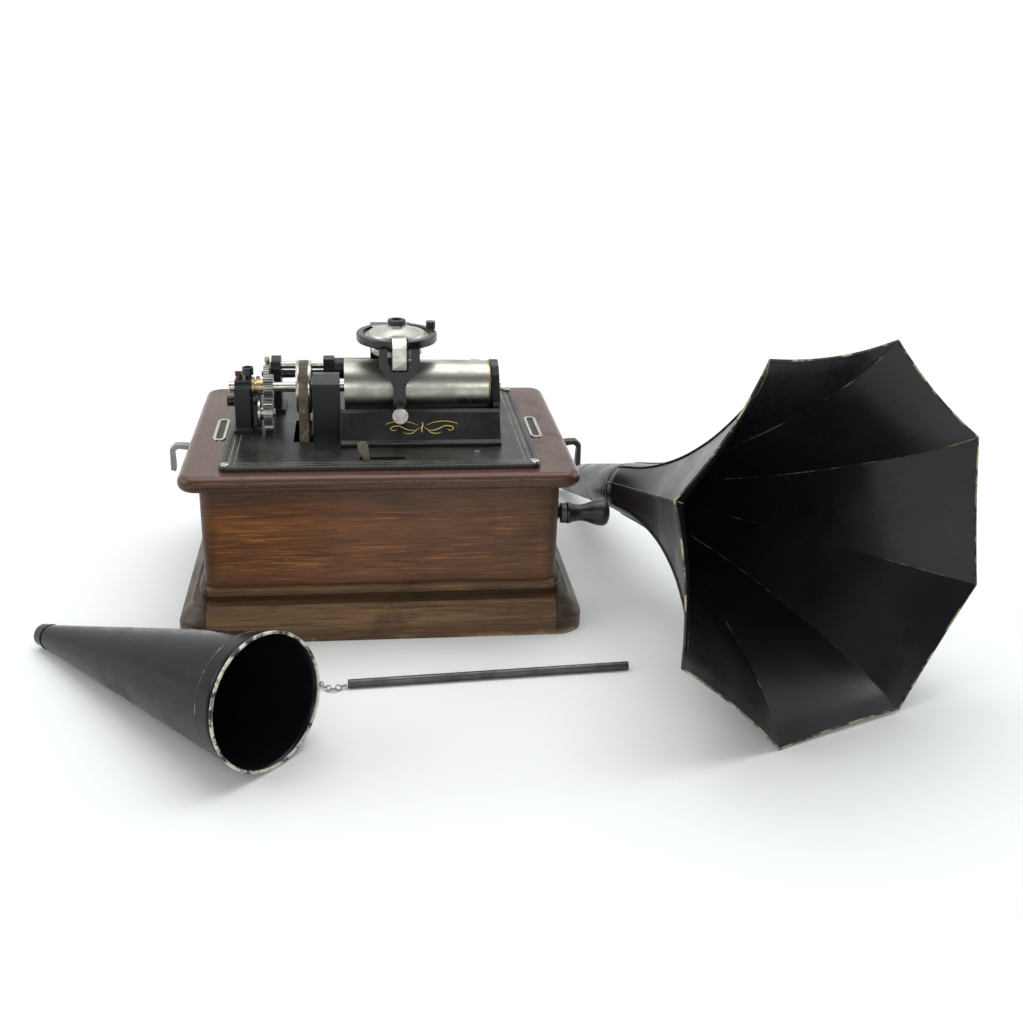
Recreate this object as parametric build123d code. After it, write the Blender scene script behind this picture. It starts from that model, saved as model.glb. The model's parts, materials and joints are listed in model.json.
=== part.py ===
from build123d import *
import math
import os

# Table-top wind-up cylinder phonograph with two loose horns, a crane rod and a chain.

os.makedirs("parts", exist_ok=True)

# Millimetres. X right, Y back, Z up; the origin is the middle of the case on the floor.

# case
BODY_W = 284.0
BODY_D = 214.0
BOARD_T = 10.0
BODY_R = 9.0
BODY_Z0 = 30.0
RIM_W = 314.0
RIM_D = 238.0
RIM_T = 13.0
RIM_TOP = 136.0
RIM_R = 14.0
FOOT_W = 326.0
FOOT_D = 260.0
PLATE_T = 4.0
PLATE_X = 126.0
PLATE_Y0 = -105.0
PLATE_Y1 = 99.0
WELL_X = 112.0
WELL_Y0 = -92.0
WELL_Y1 = 86.0

# mandrel line
MAN_Y = -4.0
MAN_Z = 174.0
MAN_X0 = -29.0
MAN_X1 = 92.6
MAN_R0 = 23.35
MAN_R1 = 21.75
SHAFT_R = 3.75
TOP_PULLEY_R = 20.5
TOP_PULLEY_X = -62.5
BELT_W = 7.6
BELT_T = 1.5
FIT = 0.05

# feed line
ROD_Y = 45.0
ROD_Z = 178.6
ROD_R = 3.2
SCREW_Z = 170.8
SCREW_R = 3.7
SLEEVE_Z = 175.6
SLEEVE_R = 9.2

# gear teeth
FEED_M = 0.8
MAN_N = 24
LOW_N = 30
UP_N = 38
SCREW_N = 24
LOW_Y = -9.5
LOW_Z = 153.1

# motor
PUL_Y = -44.0
PUL_Z = 62.0
LOW_PULLEY_R = 16.0
GREAT_M = 1.25
GREAT_N = 72
PINION_N = 12
BAR_Y = PUL_Y + GREAT_M * (GREAT_N + PINION_N) / 2
BAR_Z = PUL_Z
BAR_R = 38.0
WIND_M = 1.5
WIND_N = 54
CRANK_N = 18
CRANK_Y = PUL_Y
CRANK_Z = BAR_Z + math.sqrt((WIND_M * (WIND_N + CRANK_N) / 2) ** 2 - (BAR_Y - CRANK_Y) ** 2)
GOV_M = 1.0
GOV_BIG_N = 48
GOV_N = 12
GOV_ANGLE = 210.0
GOV_D = GOV_M * (GOV_BIG_N + GOV_N) / 2
GOV_Y = PUL_Y + GOV_D * math.cos(math.radians(GOV_ANGLE))
GOV_Z = PUL_Z + GOV_D * math.sin(math.radians(GOV_ANGLE))

# crank
CRANK_A = 38.0
CRANK_ANGLE = 161.3
HANDLE_X0 = 151.9

# carriage
ARM_X = 15.0
RING_Z0 = 214.0
RING_Z1 = 221.0
RING_R = 33.5
DISC_R = 27.5
SADDLE_Z = 182.2

# big horn: mouth centre, outward axis, roll of the first corner
BELL_C = (311.9, -262.8, 135.6)
BELL_AZ = -68.36
BELL_EL = 11.02
BELL_ROLL = 158.42
BELL_WALL = 0.9
BELL_SECTIONS = [(0, 148.7), (12, 134.5), (35, 114.5), (70, 91.5),
                 (110, 69.0), (160, 46.5), (215, 29.5), (262, 22.6)]
TUBE_POINTS = [(217.1, -23.8, 85.5, 21.4), (211.8, 30.0, 67.6, 19.6), (205.4, 90.0, 47.6, 17.2),
               (198.6, 150.0, 27.4, 14.0), (194.0, 190.0, 14.2, 11.6)]

# small horn
CONE_C = (-80.6, -296.7)
CONE_AZ = -43.4
CONE_R = 46.9
CONE_L = 257.5
CONE_TIP_R = 7.8
CONE_WALL = 0.8

# crane rod on the floor
CRANE_A = (-29.0, -202.7)
CRANE_B = (187.2, -189.5)
CRANE_R = 3.25


def save(part, name):
    part.label = name
    export_step(part, os.path.join("parts", name + ".step"))


def block(x0, x1, y0, y1, z0, z1):
    return Pos((x0 + x1) / 2, (y0 + y1) / 2, (z0 + z1) / 2) * Box(x1 - x0, y1 - y0, z1 - z0)


def rod_x(x0, x1, y, z, r):
    return Pos((x0 + x1) / 2, y, z) * Rot(0, 90, 0) * Cylinder(r, x1 - x0)


def rod_y(x, y0, y1, z, r):
    return Pos(x, (y0 + y1) / 2, z) * Rot(90, 0, 0) * Cylinder(r, y1 - y0)


def rod_z(x, y, z0, z1, r):
    return Pos(x, y, (z0 + z1) / 2) * Cylinder(r, z1 - z0)


def side_plate(points, x0, x1):
    sketch = Plane.YZ * make_face(Polyline(*points, close=True))
    return Pos(x0, 0, 0) * extrude(sketch, x1 - x0)


def front_plate(points, y0, y1):
    sketch = Plane.XZ * make_face(Polyline(*points, close=True))
    return Pos(0, y1, 0) * extrude(sketch, y1 - y0)


def gear_x(teeth, module, x0, x1, y, z, phase, bore=0.0):
    r = teeth * module / 2
    r_out = r + module * 0.95
    r_root = r - module * 1.2
    pitch = 2 * math.pi / teeth
    pts = []
    for i in range(teeth):
        mid = math.radians(phase) + i * pitch
        for radius, half in ((r_root, 0.31), (r_out, 0.125)):
            pts.append((radius, mid - half * pitch))
        for radius, half in ((r_out, 0.125), (r_root, 0.31)):
            pts.append((radius, mid + half * pitch))
    flat = [(radius * math.cos(a), radius * math.sin(a)) for radius, a in pts]
    wheel = side_plate(flat, 0, x1 - x0)
    if bore > 0:
        wheel -= rod_x(-1, x1 - x0 + 1, 0, 0, bore)
    return Pos(x0, y, z) * wheel


def meshed(phase_a, teeth_a, line, teeth_b):
    pitch = 360.0 / teeth_a
    off = (phase_a - line + pitch / 2) % pitch - pitch / 2
    return line + 180.0 - off * teeth_a / teeth_b + 180.0 / teeth_b


def heading(y0, z0, y1, z1):
    return math.degrees(math.atan2(z1 - z0, y1 - y0))


# ---------------------------------------------------------------- case
def rounded(w, d, r, z0, z1):
    return extrude(Pos(0, 0, z0) * RectangleRounded(w, d, r), z1 - z0)


IN_X = BODY_W / 2 - BOARD_T
IN_Y = BODY_D / 2 - BOARD_T
inner_cut = block(-IN_X, IN_X, -IN_Y, IN_Y, -5, 200)
ogee = []
for height, out in ((13.0, 21.5), (16.0, 20.3), (19.5, 17.6), (23.0, 14.0), (26.0, 11.8), (27.5, 11.2)):
    corner = 22 - (21.5 - out) * 0.5
    ogee.append(Pos(0, 0, height) * RectangleRounded(BODY_W + 2 * out - 1.5, BODY_D + 2 * out, corner))
foot = rounded(FOOT_W, FOOT_D, 22, 0, 13.0)
foot = fillet(foot.edges().group_by(Axis.Z)[-1], 1.2)
foot += loft(ogee)
foot += rounded(BODY_W + 6, BODY_D + 6, 13, 27.5, 31.0)
bead = rounded(BODY_W + 10, BODY_D + 10, 15, 31.0, 39.5)
bead = fillet(bead.edges().filter_by(Plane.XY), 3.2)
foot += bead
foot -= block(-132.2, 132.2, -97.2, 97.2, -5, 60)
foot -= extrude(Pos(0, 0, BODY_Z0) * RectangleRounded(BODY_W, BODY_D, BODY_R), 30)
save(foot, "plinth")

body = rounded(BODY_W, BODY_D, BODY_R, BODY_Z0, RIM_TOP - RIM_T)
body -= inner_cut
front_zone = block(-200, 200, -200, -(BODY_D / 2 - BOARD_T), 0, 200)
back_zone = block(-200, 200, BODY_D / 2 - BOARD_T, 200, 0, 200)
ends = body - front_zone - back_zone
save(body & front_zone, "case_front")
save(body & back_zone, "case_back")
left_end = ends & block(-200, 0, -200, 200, 0, 200)
right_end = ends & block(0, 200, -200, 200, 0, 200)
right_end -= rod_x(120, 160, CRANK_Y, CRANK_Z, 7.05)
save(left_end, "case_left")
save(right_end, "case_right")
save(block(-131.8, 131.8, -96.8, 96.8, 0, 6), "case_bottom")

rim = rounded(RIM_W, RIM_D, RIM_R, RIM_TOP - RIM_T, RIM_TOP)
rim = fillet(rim.edges().group_by(Axis.Z)[-1] + rim.edges().group_by(Axis.Z)[0], 6.2)
rim -= block(-WELL_X, WELL_X, WELL_Y0, WELL_Y1, 100, 150)
corner_screws = [(-121.0, -99.6), (121.0, -99.6), (121.0, 93.6), (-121.0, 93.6)]
for sx, sy in corner_screws:
    rim -= rod_z(sx, sy, 130, 150, 2.05)
save(rim, "top_rim")

plate_top = RIM_TOP + PLATE_T
plate = Pos(0, (PLATE_Y0 + PLATE_Y1) / 2, RIM_TOP) * extrude(
    RectangleRounded(2 * PLATE_X, PLATE_Y1 - PLATE_Y0, 7), PLATE_T)
plate = fillet(plate.edges().group_by(Axis.Z)[-1], 1.6)
field = Pos(0, (PLATE_Y0 + PLATE_Y1) / 2, plate_top - 0.7) * extrude(
    RectangleRounded(2 * PLATE_X - 9, PLATE_Y1 - PLATE_Y0 - 9, 5), 5)
plate -= field
plate_face = plate_top - 0.7
plate -= block(-71, -55, -46, 10, 130, 150)
plate -= block(-17.5, 18.5, -89.2, -82.8, 130, 150)
for sx, sy in corner_screws:
    plate -= rod_z(sx, sy, 130, 150, 2.1)
save(plate, "bedplate")

screws = Part()
for sx, sy in corner_screws:
    head = Pos(sx, sy, plate_top) * Cylinder(3.6, 1.5, align=(Align.CENTER, Align.CENTER, Align.MIN))
    head = fillet(head.edges().group_by(Axis.Z)[-1], 0.6)
    head -= Pos(sx, sy, plate_top + 1.4) * Rot(0, 0, 35) * Box(8, 0.9, 1.2)
    screws += head + rod_z(sx, sy, 131, plate_top, 2.0)
small = Pos(77, -76, plate_face) * Cylinder(2.2, 1.6, align=(Align.CENTER, Align.CENTER, Align.MIN))
screws += small
save(screws, "plate_screws")

catches = Part()
for side in (-1, 1):
    strap = Pos(side * 132.5, -4, RIM_TOP) * extrude(RectangleRounded(11, 56, 4.5), 1.2)
    strap -= Pos(side * 132.5, -10, RIM_TOP + 0.6) * extrude(SlotOverall(28, 4.6, rotation=90), 3)
    strap += rod_z(side * 132.5, 17, RIM_TOP + 1.2, RIM_TOP + 2.2, 2.8)
    catches += strap
save(catches, "catch_plates")

# ---------------------------------------------------------------- fixed top works
LEFT_TOP = 182.0
left_post = block(-119, -106, -22, 12, plate_face, 178)
left_post += rod_x(-119, -106, MAN_Y, MAN_Z, 12.5)
left_post += block(-120.5, -104.5, -25, 15, plate_face, plate_face + 3)
left_post -= rod_x(-130, -100, MAN_Y, MAN_Z, SHAFT_R + FIT)
left_post = left_post & block(-125, -100, -30, 30, plate_face, LEFT_TOP)
save(left_post, "left_pedestal")

cup = rod_z(-108.4, -4, LEFT_TOP, LEFT_TOP + 3, 2.4) + rod_z(-108.4, -4, LEFT_TOP + 3, LEFT_TOP + 9, 4.6)
cup -= rod_z(-108.4, -4, LEFT_TOP + 7.8, LEFT_TOP + 10, 3.4)
wing = rod_z(-115.2, -4, LEFT_TOP, LEFT_TOP + 2.4, 2.2)
wing += block(-118.8, -113.3, -5.2, -2.8, LEFT_TOP + 1.6, LEFT_TOP + 5.4)
knob = rod_x(-127, -119, 2, 160, 4.6)
save(cup, "oil_cup")
save(wing + knob, "post_screws")

rear_left = block(-92, -84, 34, 56, plate_face, 178) + rod_x(-92, -84, ROD_Y, 176, 11)
rear_left += block(-95, -81, 30, 60, plate_face, plate_face + 3.5)
rear_left -= rod_x(-100, -80, ROD_Y, ROD_Z, ROD_R)
rear_left -= rod_x(-100, -80, ROD_Y, SCREW_Z, 2.5 + FIT)
save(rear_left, "rear_pedestal_left")

rear_right = block(82, 89.5, 37, 53, plate_face, 176) + rod_x(82, 89.5, ROD_Y, 175.4, 7.6)
rear_right += block(79, 104, 36, 54, plate_face, 147)
rear_right -= rod_x(70, 100, ROD_Y, ROD_Z, ROD_R)
rear_right -= rod_x(70, 100, ROD_Y, SCREW_Z, 2.5 + FIT)
rear_right += rod_z(97, ROD_Y, 147, 171, 2.4)
save(rear_right, "rear_pedestal_right")

save(rod_x(-92, 89.5, ROD_Y, ROD_Z, ROD_R), "back_rod")

centre = side_plate([(-31, plate_face), (-31, 183.2), (-26, 186.2), (-12, 187.2), (6, 183.5), (20, 166),
                     (20, plate_face)], -55, -33)
centre = fillet(centre.edges().filter_by(Axis.X).filter_by(lambda edge: edge.center().Z > 160), 1.8)
centre += block(-57, -31, -34, 23, plate_face, plate_face + 3)
centre -= rod_x(-60, -30, MAN_Y, MAN_Z, SHAFT_R + FIT)
centre -= block(-51, -37, -26, 16, 130, 160)
save(centre, "centre_pedestal")

cast = side_plate([(-60, plate_face), (-60, 142.5), (-56, 143.5), (-41.5, 163), (-36, 164.2), (-34, 163),
                   (-34, plate_face), (-42, plate_face), (-42, 154), (-50, 144), (-50, plate_face)], -32.8, 99)
cast += side_plate([(-60, plate_face), (-60, 142.5), (-56, 143.5), (-41.5, 163), (-36, 164.2), (-34, 163),
                    (-34, plate_face)], -32.8, -28.8)
cast += side_plate([(-60, plate_face), (-60, 142.5), (-56, 143.5), (-41.5, 163), (-36, 164.2), (-34, 163),
                    (-34, plate_face)], 95, 99)
save(cast, "front_casting")

# belt around both pulleys, a flat strap
def strap_loop(grow):
    ax, ay = MAN_Y, MAN_Z
    bx, by = PUL_Y, PUL_Z
    ra = TOP_PULLEY_R + grow
    rb = LOW_PULLEY_R + grow
    dist = math.hypot(bx - ax, by - ay)
    base = math.atan2(by - ay, bx - ax)
    lean = math.acos((ra - rb) / dist)
    pts = []
    for k in range(33):
        a = base + lean + (2 * math.pi - 2 * lean) * k / 32
        pts.append((ax + ra * math.cos(a), ay + ra * math.sin(a)))
    for k in range(25):
        a = base - lean + 2 * lean * k / 24
        pts.append((bx + rb * math.cos(a), by + rb * math.sin(a)))
    return pts


belt = side_plate(strap_loop(0.15 + BELT_T), TOP_PULLEY_X - BELT_W / 2, TOP_PULLEY_X + BELT_W / 2)
belt -= side_plate(strap_loop(0.15), TOP_PULLEY_X - 10, TOP_PULLEY_X + 10)
save(belt, "drive_belt")

# stud plate for the idler wheels, fixed to the bedplate
UP_D = FEED_M * (MAN_N + UP_N) / 2
LINK = math.hypot(ROD_Y - MAN_Y, SCREW_Z - MAN_Z)
DROP = math.sqrt(UP_D ** 2 - (LINK / 2) ** 2)
UNIT_Y = (ROD_Y - MAN_Y) / LINK
UNIT_Z = (SCREW_Z - MAN_Z) / LINK
UP_Y = (ROD_Y + MAN_Y) / 2 + DROP * UNIT_Z
UP_Z = (SCREW_Z + MAN_Z) / 2 - DROP * UNIT_Y
studs = side_plate([(-20, plate_face), (-20, 146), (-14, 159), (14, 174), (27, 174), (30, 150),
                    (30, plate_face)], -104.2, -101.4)
studs += rod_x(-102, -86.6, LOW_Y, LOW_Z, 2.5) + rod_x(-102, -91.6, UP_Y, UP_Z, 2.5)
studs += block(-104.2, -101.4, -23, 33, plate_face, plate_face + 4)
studs -= rod_x(-110, -80, MAN_Y, MAN_Z, 12)
save(studs, "idler_bracket")

# ---------------------------------------------------------------- motor frame
frame = Part()
for x0, x1 in ((-91, -87), (50, 54)):
    leaf = side_plate([(-90, 28), (-90, 136), (62, 136), (62, 28), (40, 20), (-60, 20)], x0, x1)
    leaf -= rod_x(x0 - 1, x1 + 1, PUL_Y, PUL_Z, 3 + FIT)
    leaf -= rod_x(x0 - 1, x1 + 1, BAR_Y, BAR_Z, 5 + FIT)
    leaf -= rod_x(x0 - 1, x1 + 1, GOV_Y, GOV_Z, 2 + FIT)
    leaf -= rod_x(x0 - 1, x1 + 1, CRANK_Y, CRANK_Z, 5 + FIT)
    leaf -= side_plate([(28, 112), (54, 112), (54, 60), (46, 60)], x0 - 1, x1 + 1)
    frame += leaf
for py, pz in ((54, 34), (-70, 128), (54, 122)):
    frame += rod_x(-88, 51, py, pz, 4)
mid = block(-26, -22, -84, -34, 40, 136)
mid -= rod_x(-30, -20, PUL_Y, PUL_Z, 3 + FIT)
mid -= rod_x(-30, -20, GOV_Y, GOV_Z, 2 + FIT)
frame += mid
frame += block(-6, 8, -83.4, -80.4, 92, 136) + block(-6, 51, -83.4, -80.4, 124, 136)
frame += rod_y(0.7, -88.2, -81, 98.6, 2.0)
save(frame, "motor_frame")

# ---------------------------------------------------------------- winding train
line_cw = heading(CRANK_Y, CRANK_Z, BAR_Y, BAR_Z)
crank = rod_x(34, 148.6, CRANK_Y, CRANK_Z, 5)
arm_len = CRANK_A
grip_y = CRANK_Y + CRANK_A * math.cos(math.radians(CRANK_ANGLE))
grip_z = CRANK_Z + CRANK_A * math.sin(math.radians(CRANK_ANGLE))
lever = Pos(CRANK_A / 2, 0, 0) * Box(CRANK_A, 9, 4)
lever += Cylinder(8, 4) + Pos(CRANK_A, 0, 0) * Cylinder(8.4, 4)
lever = Plane.YZ * lever
lever = Pos(149.6, CRANK_Y, CRANK_Z) * Rot(CRANK_ANGLE, 0, 0) * lever
crank += lever + rod_x(143.2, 147.8, CRANK_Y, CRANK_Z, 7)
crank += rod_x(147.6, 184, grip_y, grip_z, 2.5)
save(crank, "crank")
save(gear_x(CRANK_N, WIND_M, 36, 42, CRANK_Y, CRANK_Z, line_cw, 5.0), "crank_pinion")

profile = [(0, 8.6), (2.5, 8.9), (5, 8.0), (9, 7.1), (13, 7.0), (18, 8.1), (23, 9.9), (28, 11.2), (31.5, 11.3),
           (34.2, 9.8), (35.8, 6.6), (36.5, 3.0), (36.7, 0)]
grip_line = Spline(*profile)
grip_face = make_face([grip_line, Polyline((36.7, 0), (33.2, 0), (33.2, 2.56), (0, 2.56), (0, 8.6))])
grip = revolve(grip_face, Axis.X, 360)
save(Pos(HANDLE_X0, grip_y, grip_z) * grip, "crank_handle")

bush = rod_x(131.5, 143.0, CRANK_Y, CRANK_Z, 7) - rod_x(130, 145, CRANK_Y, CRANK_Z, 5 + FIT)
save(bush, "crank_bushing")

wind = gear_x(WIND_N, WIND_M, 36, 42, BAR_Y, BAR_Z, meshed(line_cw, CRANK_N, line_cw, WIND_N), 0)
wind -= rod_x(30, 50, BAR_Y, BAR_Z, 4)
for k in range(5):
    a = 2 * math.pi * k / 5
    wind -= rod_x(30, 50, BAR_Y + 24 * math.cos(a), BAR_Z + 24 * math.sin(a), 8)
arbor = rod_x(-90.5, 53.5, BAR_Y, BAR_Z, 5)
save(wind + rod_x(35, 43, BAR_Y, BAR_Z, 8) + arbor, "winding_gear")

barrel = rod_x(-32, 30, BAR_Y, BAR_Z, BAR_R) - rod_x(-30, 28, BAR_Y, BAR_Z, BAR_R - 2)
barrel += rod_x(-38.6, -31, BAR_Y, BAR_Z, 9)
barrel -= rod_x(-40, 31, BAR_Y, BAR_Z, 5 + FIT)
great = gear_x(GREAT_N, GREAT_M, -38, -32.5, BAR_Y, BAR_Z, 0, 9)
for k in range(6):
    a = 2 * math.pi * (k + 0.5) / 6
    great -= rod_x(-40, -32.2, BAR_Y + 26 * math.cos(a), BAR_Z + 26 * math.sin(a), 8)
save(barrel, "spring_barrel")
save(great, "great_gear")

pin_phase = meshed(0, GREAT_N, 180.0, PINION_N)
lay = rod_x(-90, -22, PUL_Y, PUL_Z, 3) + gear_x(PINION_N, GREAT_M, -39, -31.5, PUL_Y, PUL_Z, pin_phase, 0)
lay += gear_x(GOV_BIG_N, GOV_M, -50, -45, PUL_Y, PUL_Z, GOV_ANGLE, 0)
save(lay, "layshaft")
low_pulley = rod_x(-67.5, -57.5, PUL_Y, PUL_Z, LOW_PULLEY_R)
for x0 in (-68.5, -58.0):
    low_pulley += rod_x(x0, x0 + 1.5, PUL_Y, PUL_Z, LOW_PULLEY_R + 2.6)
low_pulley -= rod_x(-70, -50, PUL_Y, PUL_Z, 3)
save(low_pulley, "motor_pulley")

gov = rod_x(-90, 53, GOV_Y, GOV_Z, 2)
gov += gear_x(GOV_N, GOV_M, -50, -45, GOV_Y, GOV_Z, meshed(GOV_ANGLE, GOV_BIG_N, GOV_ANGLE, GOV_N), 0)
gov += rod_x(-12, -8, GOV_Y, GOV_Z, 5) + rod_x(24, 28, GOV_Y, GOV_Z, 5) + rod_x(28, 30, GOV_Y, GOV_Z, 15)
for k in range(3):
    a = 2 * math.pi * k / 3
    cy = math.cos(a)
    cz = math.sin(a)
    gov += Pos(8, GOV_Y + 15 * cy, GOV_Z + 15 * cz) * Sphere(6)
    for xa, xb in ((-10, 8), (8, 26)):
        ra = 3 if xa < 0 else 15
        rb = 15 if xa < 0 else 3
        p0 = Vector(xa, GOV_Y + ra * cy, GOV_Z + ra * cz)
        p1 = Vector(xb, GOV_Y + rb * cy, GOV_Z + rb * cz)
        run = p1 - p0
        gov += Plane(origin=(p0 + p1) / 2, z_dir=run) * Cylinder(0.9, run.length)
save(gov, "governor")

# ---------------------------------------------------------------- mandrel line
def turned(points, x_dir_y, x_dir_z):
    face = make_face(Polyline(*points, close=True))
    return Pos(0, x_dir_y, x_dir_z) * revolve(face, Axis.X, 360)


sleeve = turned([(MAN_X0, 3.75), (MAN_X0, MAN_R0), (MAN_X1 - 1.6, MAN_R1 + 0.02), (MAN_X1 - 1.6, MAN_R1 - 2),
                 (MAN_X0 + 3, MAN_R0 - 2), (MAN_X0 + 3, 3.75)], MAN_Y, MAN_Z)
save(sleeve, "mandrel")
end_ring = turned([(MAN_X1 - 1.6, 6.5), (MAN_X1 - 1.6, MAN_R1), (MAN_X1, MAN_R1 - 0.3), (MAN_X1, 6.5)],
                  MAN_Y, MAN_Z)
save(end_ring, "mandrel_end_ring")
axle = turned([(-124.5, 0), (-124.5, 4.4), (-124, 4.9), (-119.6, 4.9), (-119.4, SHAFT_R), (86, SHAFT_R),
               (86, 6.5), (MAN_X1, 6.5), (MAN_X1, 2.6), (MAN_X1 - 3, 0.6), (MAN_X1 - 3, 0)], MAN_Y, MAN_Z)
save(axle, "mandrel_shaft")
pulley = turned([(-67.3, 3.75), (-67.3, TOP_PULLEY_R), (-57.7, TOP_PULLEY_R), (-57.7, 3.75)], MAN_Y, MAN_Z)
pulley += turned([(-68.6, 3.75), (-68.6, 21.8), (-67.3, 22.4), (-67.3, 3.75)], MAN_Y, MAN_Z)
pulley += turned([(-57.7, 3.75), (-57.7, 22.4), (-56.4, 21.8), (-56.4, 3.75)], MAN_Y, MAN_Z)
save(pulley, "belt_pulley")
to_low = heading(MAN_Y, MAN_Z, LOW_Y, LOW_Z)
to_up = heading(MAN_Y, MAN_Z, UP_Y, UP_Z)
save(gear_x(MAN_N, FEED_M, -96, -88, MAN_Y, MAN_Z, to_low, SHAFT_R), "mandrel_gear")
hub = rod_x(-101.6, -96.2, MAN_Y, MAN_Z, 6.6) + rod_x(-105.2, -103.6, MAN_Y, MAN_Z, 8.4)
hub += rod_x(-103.6, -101.6, MAN_Y, MAN_Z, 5)
hub -= rod_x(-110, -90, MAN_Y, MAN_Z, SHAFT_R)
save(hub, "mandrel_hub")

low = gear_x(LOW_N, FEED_M, -96, -88.5, LOW_Y, LOW_Z, meshed(to_low, MAN_N, to_low, LOW_N), 2.5 + FIT)
low += rod_x(-88.5, -86.8, LOW_Y, LOW_Z, 3.6) - rod_x(-90, -80, LOW_Y, LOW_Z, 2.5 + FIT)
low += rod_x(-100.5, -98.8, LOW_Y, LOW_Z, 12.4) + rod_x(-98.8, -96, LOW_Y, LOW_Z, 6)
low -= rod_x(-102, -80, LOW_Y, LOW_Z, 2.5 + FIT)
save(low, "lower_idler")

up_phase = meshed(to_low, MAN_N, to_up, UP_N)
up = gear_x(UP_N, FEED_M, -97.4, -92.7, UP_Y, UP_Z, up_phase, 2.5 + FIT)
save(up, "upper_idler")
to_screw = heading(UP_Y, UP_Z, ROD_Y, SCREW_Z)
screw_phase = meshed(up_phase, UP_N, to_screw, SCREW_N)
feed = rod_x(-84 + 0.4, 81.6, ROD_Y, SCREW_Z, SCREW_R)
for k in range(30):
    groove_x = -82 + k * 1.6
    groove = [(groove_x, SCREW_R + 0.1), (groove_x + 0.7, SCREW_R - 0.5), (groove_x + 1.4, SCREW_R + 0.1)]
    feed -= turned(groove, ROD_Y, SCREW_Z)
feed += rod_x(-93.2, -83, ROD_Y, SCREW_Z, 2.5) + rod_x(81, 89.5, ROD_Y, SCREW_Z, 2.5)
feed += rod_x(-101, -92.3, ROD_Y, SCREW_Z, 2.5)
save(feed, "feed_screw")
save(gear_x(SCREW_N, FEED_M, -97.5, -92.6, ROD_Y, SCREW_Z, screw_phase, 2.5), "feed_gear")

# ---------------------------------------------------------------- carriage
carriage = rod_x(-38, 30, ROD_Y, SLEEVE_Z, SLEEVE_R)
carriage -= rod_x(-40, 32, ROD_Y, ROD_Z, ROD_R + FIT)
carriage -= rod_x(-40, 32, ROD_Y, SCREW_Z, SCREW_R + 0.25)
save(carriage, "carriage_sleeve")
grip_block = block(-47.5, -38.0, 38.5, 51.5, 174, 185.4)
grip_block -= rod_x(-50, -30, ROD_Y, ROD_Z, ROD_R + FIT)
grip_block -= rod_x(-50, -30, ROD_Y, SCREW_Z, SCREW_R + 0.25)
grip_block = grip_block - block(-50, -30, 40, 50, 170, 174.9)
save(grip_block, "carriage_block")

ring = rod_z(ARM_X, MAN_Y, RING_Z0, RING_Z1, RING_R)
ring = fillet(ring.edges(), 1.4)
ring -= rod_z(ARM_X, MAN_Y, RING_Z0 - 1, RING_Z0 + 20, DISC_R - 1.2)
ring -= rod_z(ARM_X, MAN_Y, 217.0, 237.0, DISC_R + 0.4)
fork = front_plate([(-16.5, 216), (-9.5, 216), (-9.5, 202), (-6.5, 197), (6.5, 197), (9.5, 202), (9.5, 216),
                    (16.5, 216), (16.5, 201), (6.2, 187.5), (5.0, 184), (5.0, 167), (-5.0, 167),
                    (-5.0, 184), (-6.2, 187.5), (-16.5, 201)], -37.2, -31.2)
fork = Pos(ARM_X + 1, -4.5, 0) * fork
fork -= rod_z(ARM_X, MAN_Y, 217.0, 237.0, DISC_R + 0.4)
shoe = block(ARM_X - 2.0, ARM_X + 4.4, -48.6, -37, 167.0, 170.4)
shoe += rod_y(ARM_X + 1.2, -48.6, -47.4, 162.6, 2.7)
shoe += block(ARM_X - 1.0, ARM_X + 3.4, -48.6, -47.4, 162.6, 168)
shoe -= rod_y(ARM_X + 1.2, -50, -40, 162.4, 1.55)
tail = side_plate([(22, 214), (24, 220), (33, 220), (50, 189), (54, 183), (54, SADDLE_Z), (36, SADDLE_Z),
                   (29, 200)], ARM_X - 21.5, ARM_X + 12)
tail += rod_x(ARM_X - 9, ARM_X + 11, ROD_Y, SLEEVE_Z, 12.2) & block(-50, 50, 0, 90, SADDLE_Z, 200)
tail -= rod_x(-40, 60, ROD_Y, SLEEVE_Z, SLEEVE_R + FIT)
tail -= rod_z(ARM_X, MAN_Y, 205.0, 245.0, DISC_R - 1.2)
tail -= rod_z(ARM_X, MAN_Y, 217.0, 237.0, DISC_R + 0.4)
save(ring + fork + shoe + tail, "carrier_arm")

disc_line = [(0, 217.0), (DISC_R, 217.0), (DISC_R, 218.6), (25.2, 219.4), (24.2, 219.4), (23.0, 221.2),
             (21.6, 221.2), (8.2, 226.2), (8.2, 227.4), (0, 227.4)]
disc_face = Plane.XZ * make_face(Polyline(*disc_line, close=True))
disc = Pos(ARM_X, MAN_Y, 0) * revolve(disc_face, Axis.Z, 360)
disc -= rod_z(ARM_X, MAN_Y, 210, 240, 5.5)
tab = Pos(ARM_X - 13.5, MAN_Y + 17.5, 220.6) * Rot(0, 0, 25) * Box(13, 9, 1.4)
disc += tab - Pos(ARM_X, MAN_Y, 200) * Cylinder(12, 40)
disc = disc & (Pos(ARM_X, MAN_Y, 220) * Cylinder(DISC_R, 60))
for x0 in (ARM_X - 6.6, ARM_X + 7.0):
    ear = block(x0, x0 + 1.6, -31.6, -28.4, 218, 223.6) - rod_x(x0 - 1, x0 + 3, -30, 222.2, 1.0 + FIT)
    disc += ear & (Pos(ARM_X, MAN_Y, 220) * Cylinder(DISC_R, 60))
save(disc, "reproducer_disc")
neck = Pos(ARM_X, MAN_Y, 227.4) * Cylinder(7.5, 4.2, align=(Align.CENTER, Align.CENTER, Align.MIN))
neck = fillet(neck.edges().group_by(Axis.Z)[-1], 1.0)
neck += rod_z(ARM_X, MAN_Y, 217.0, 228, 5.5)
neck -= rod_z(ARM_X, MAN_Y, 216, 240, 4.0)
save(neck, "reproducer_neck")

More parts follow.
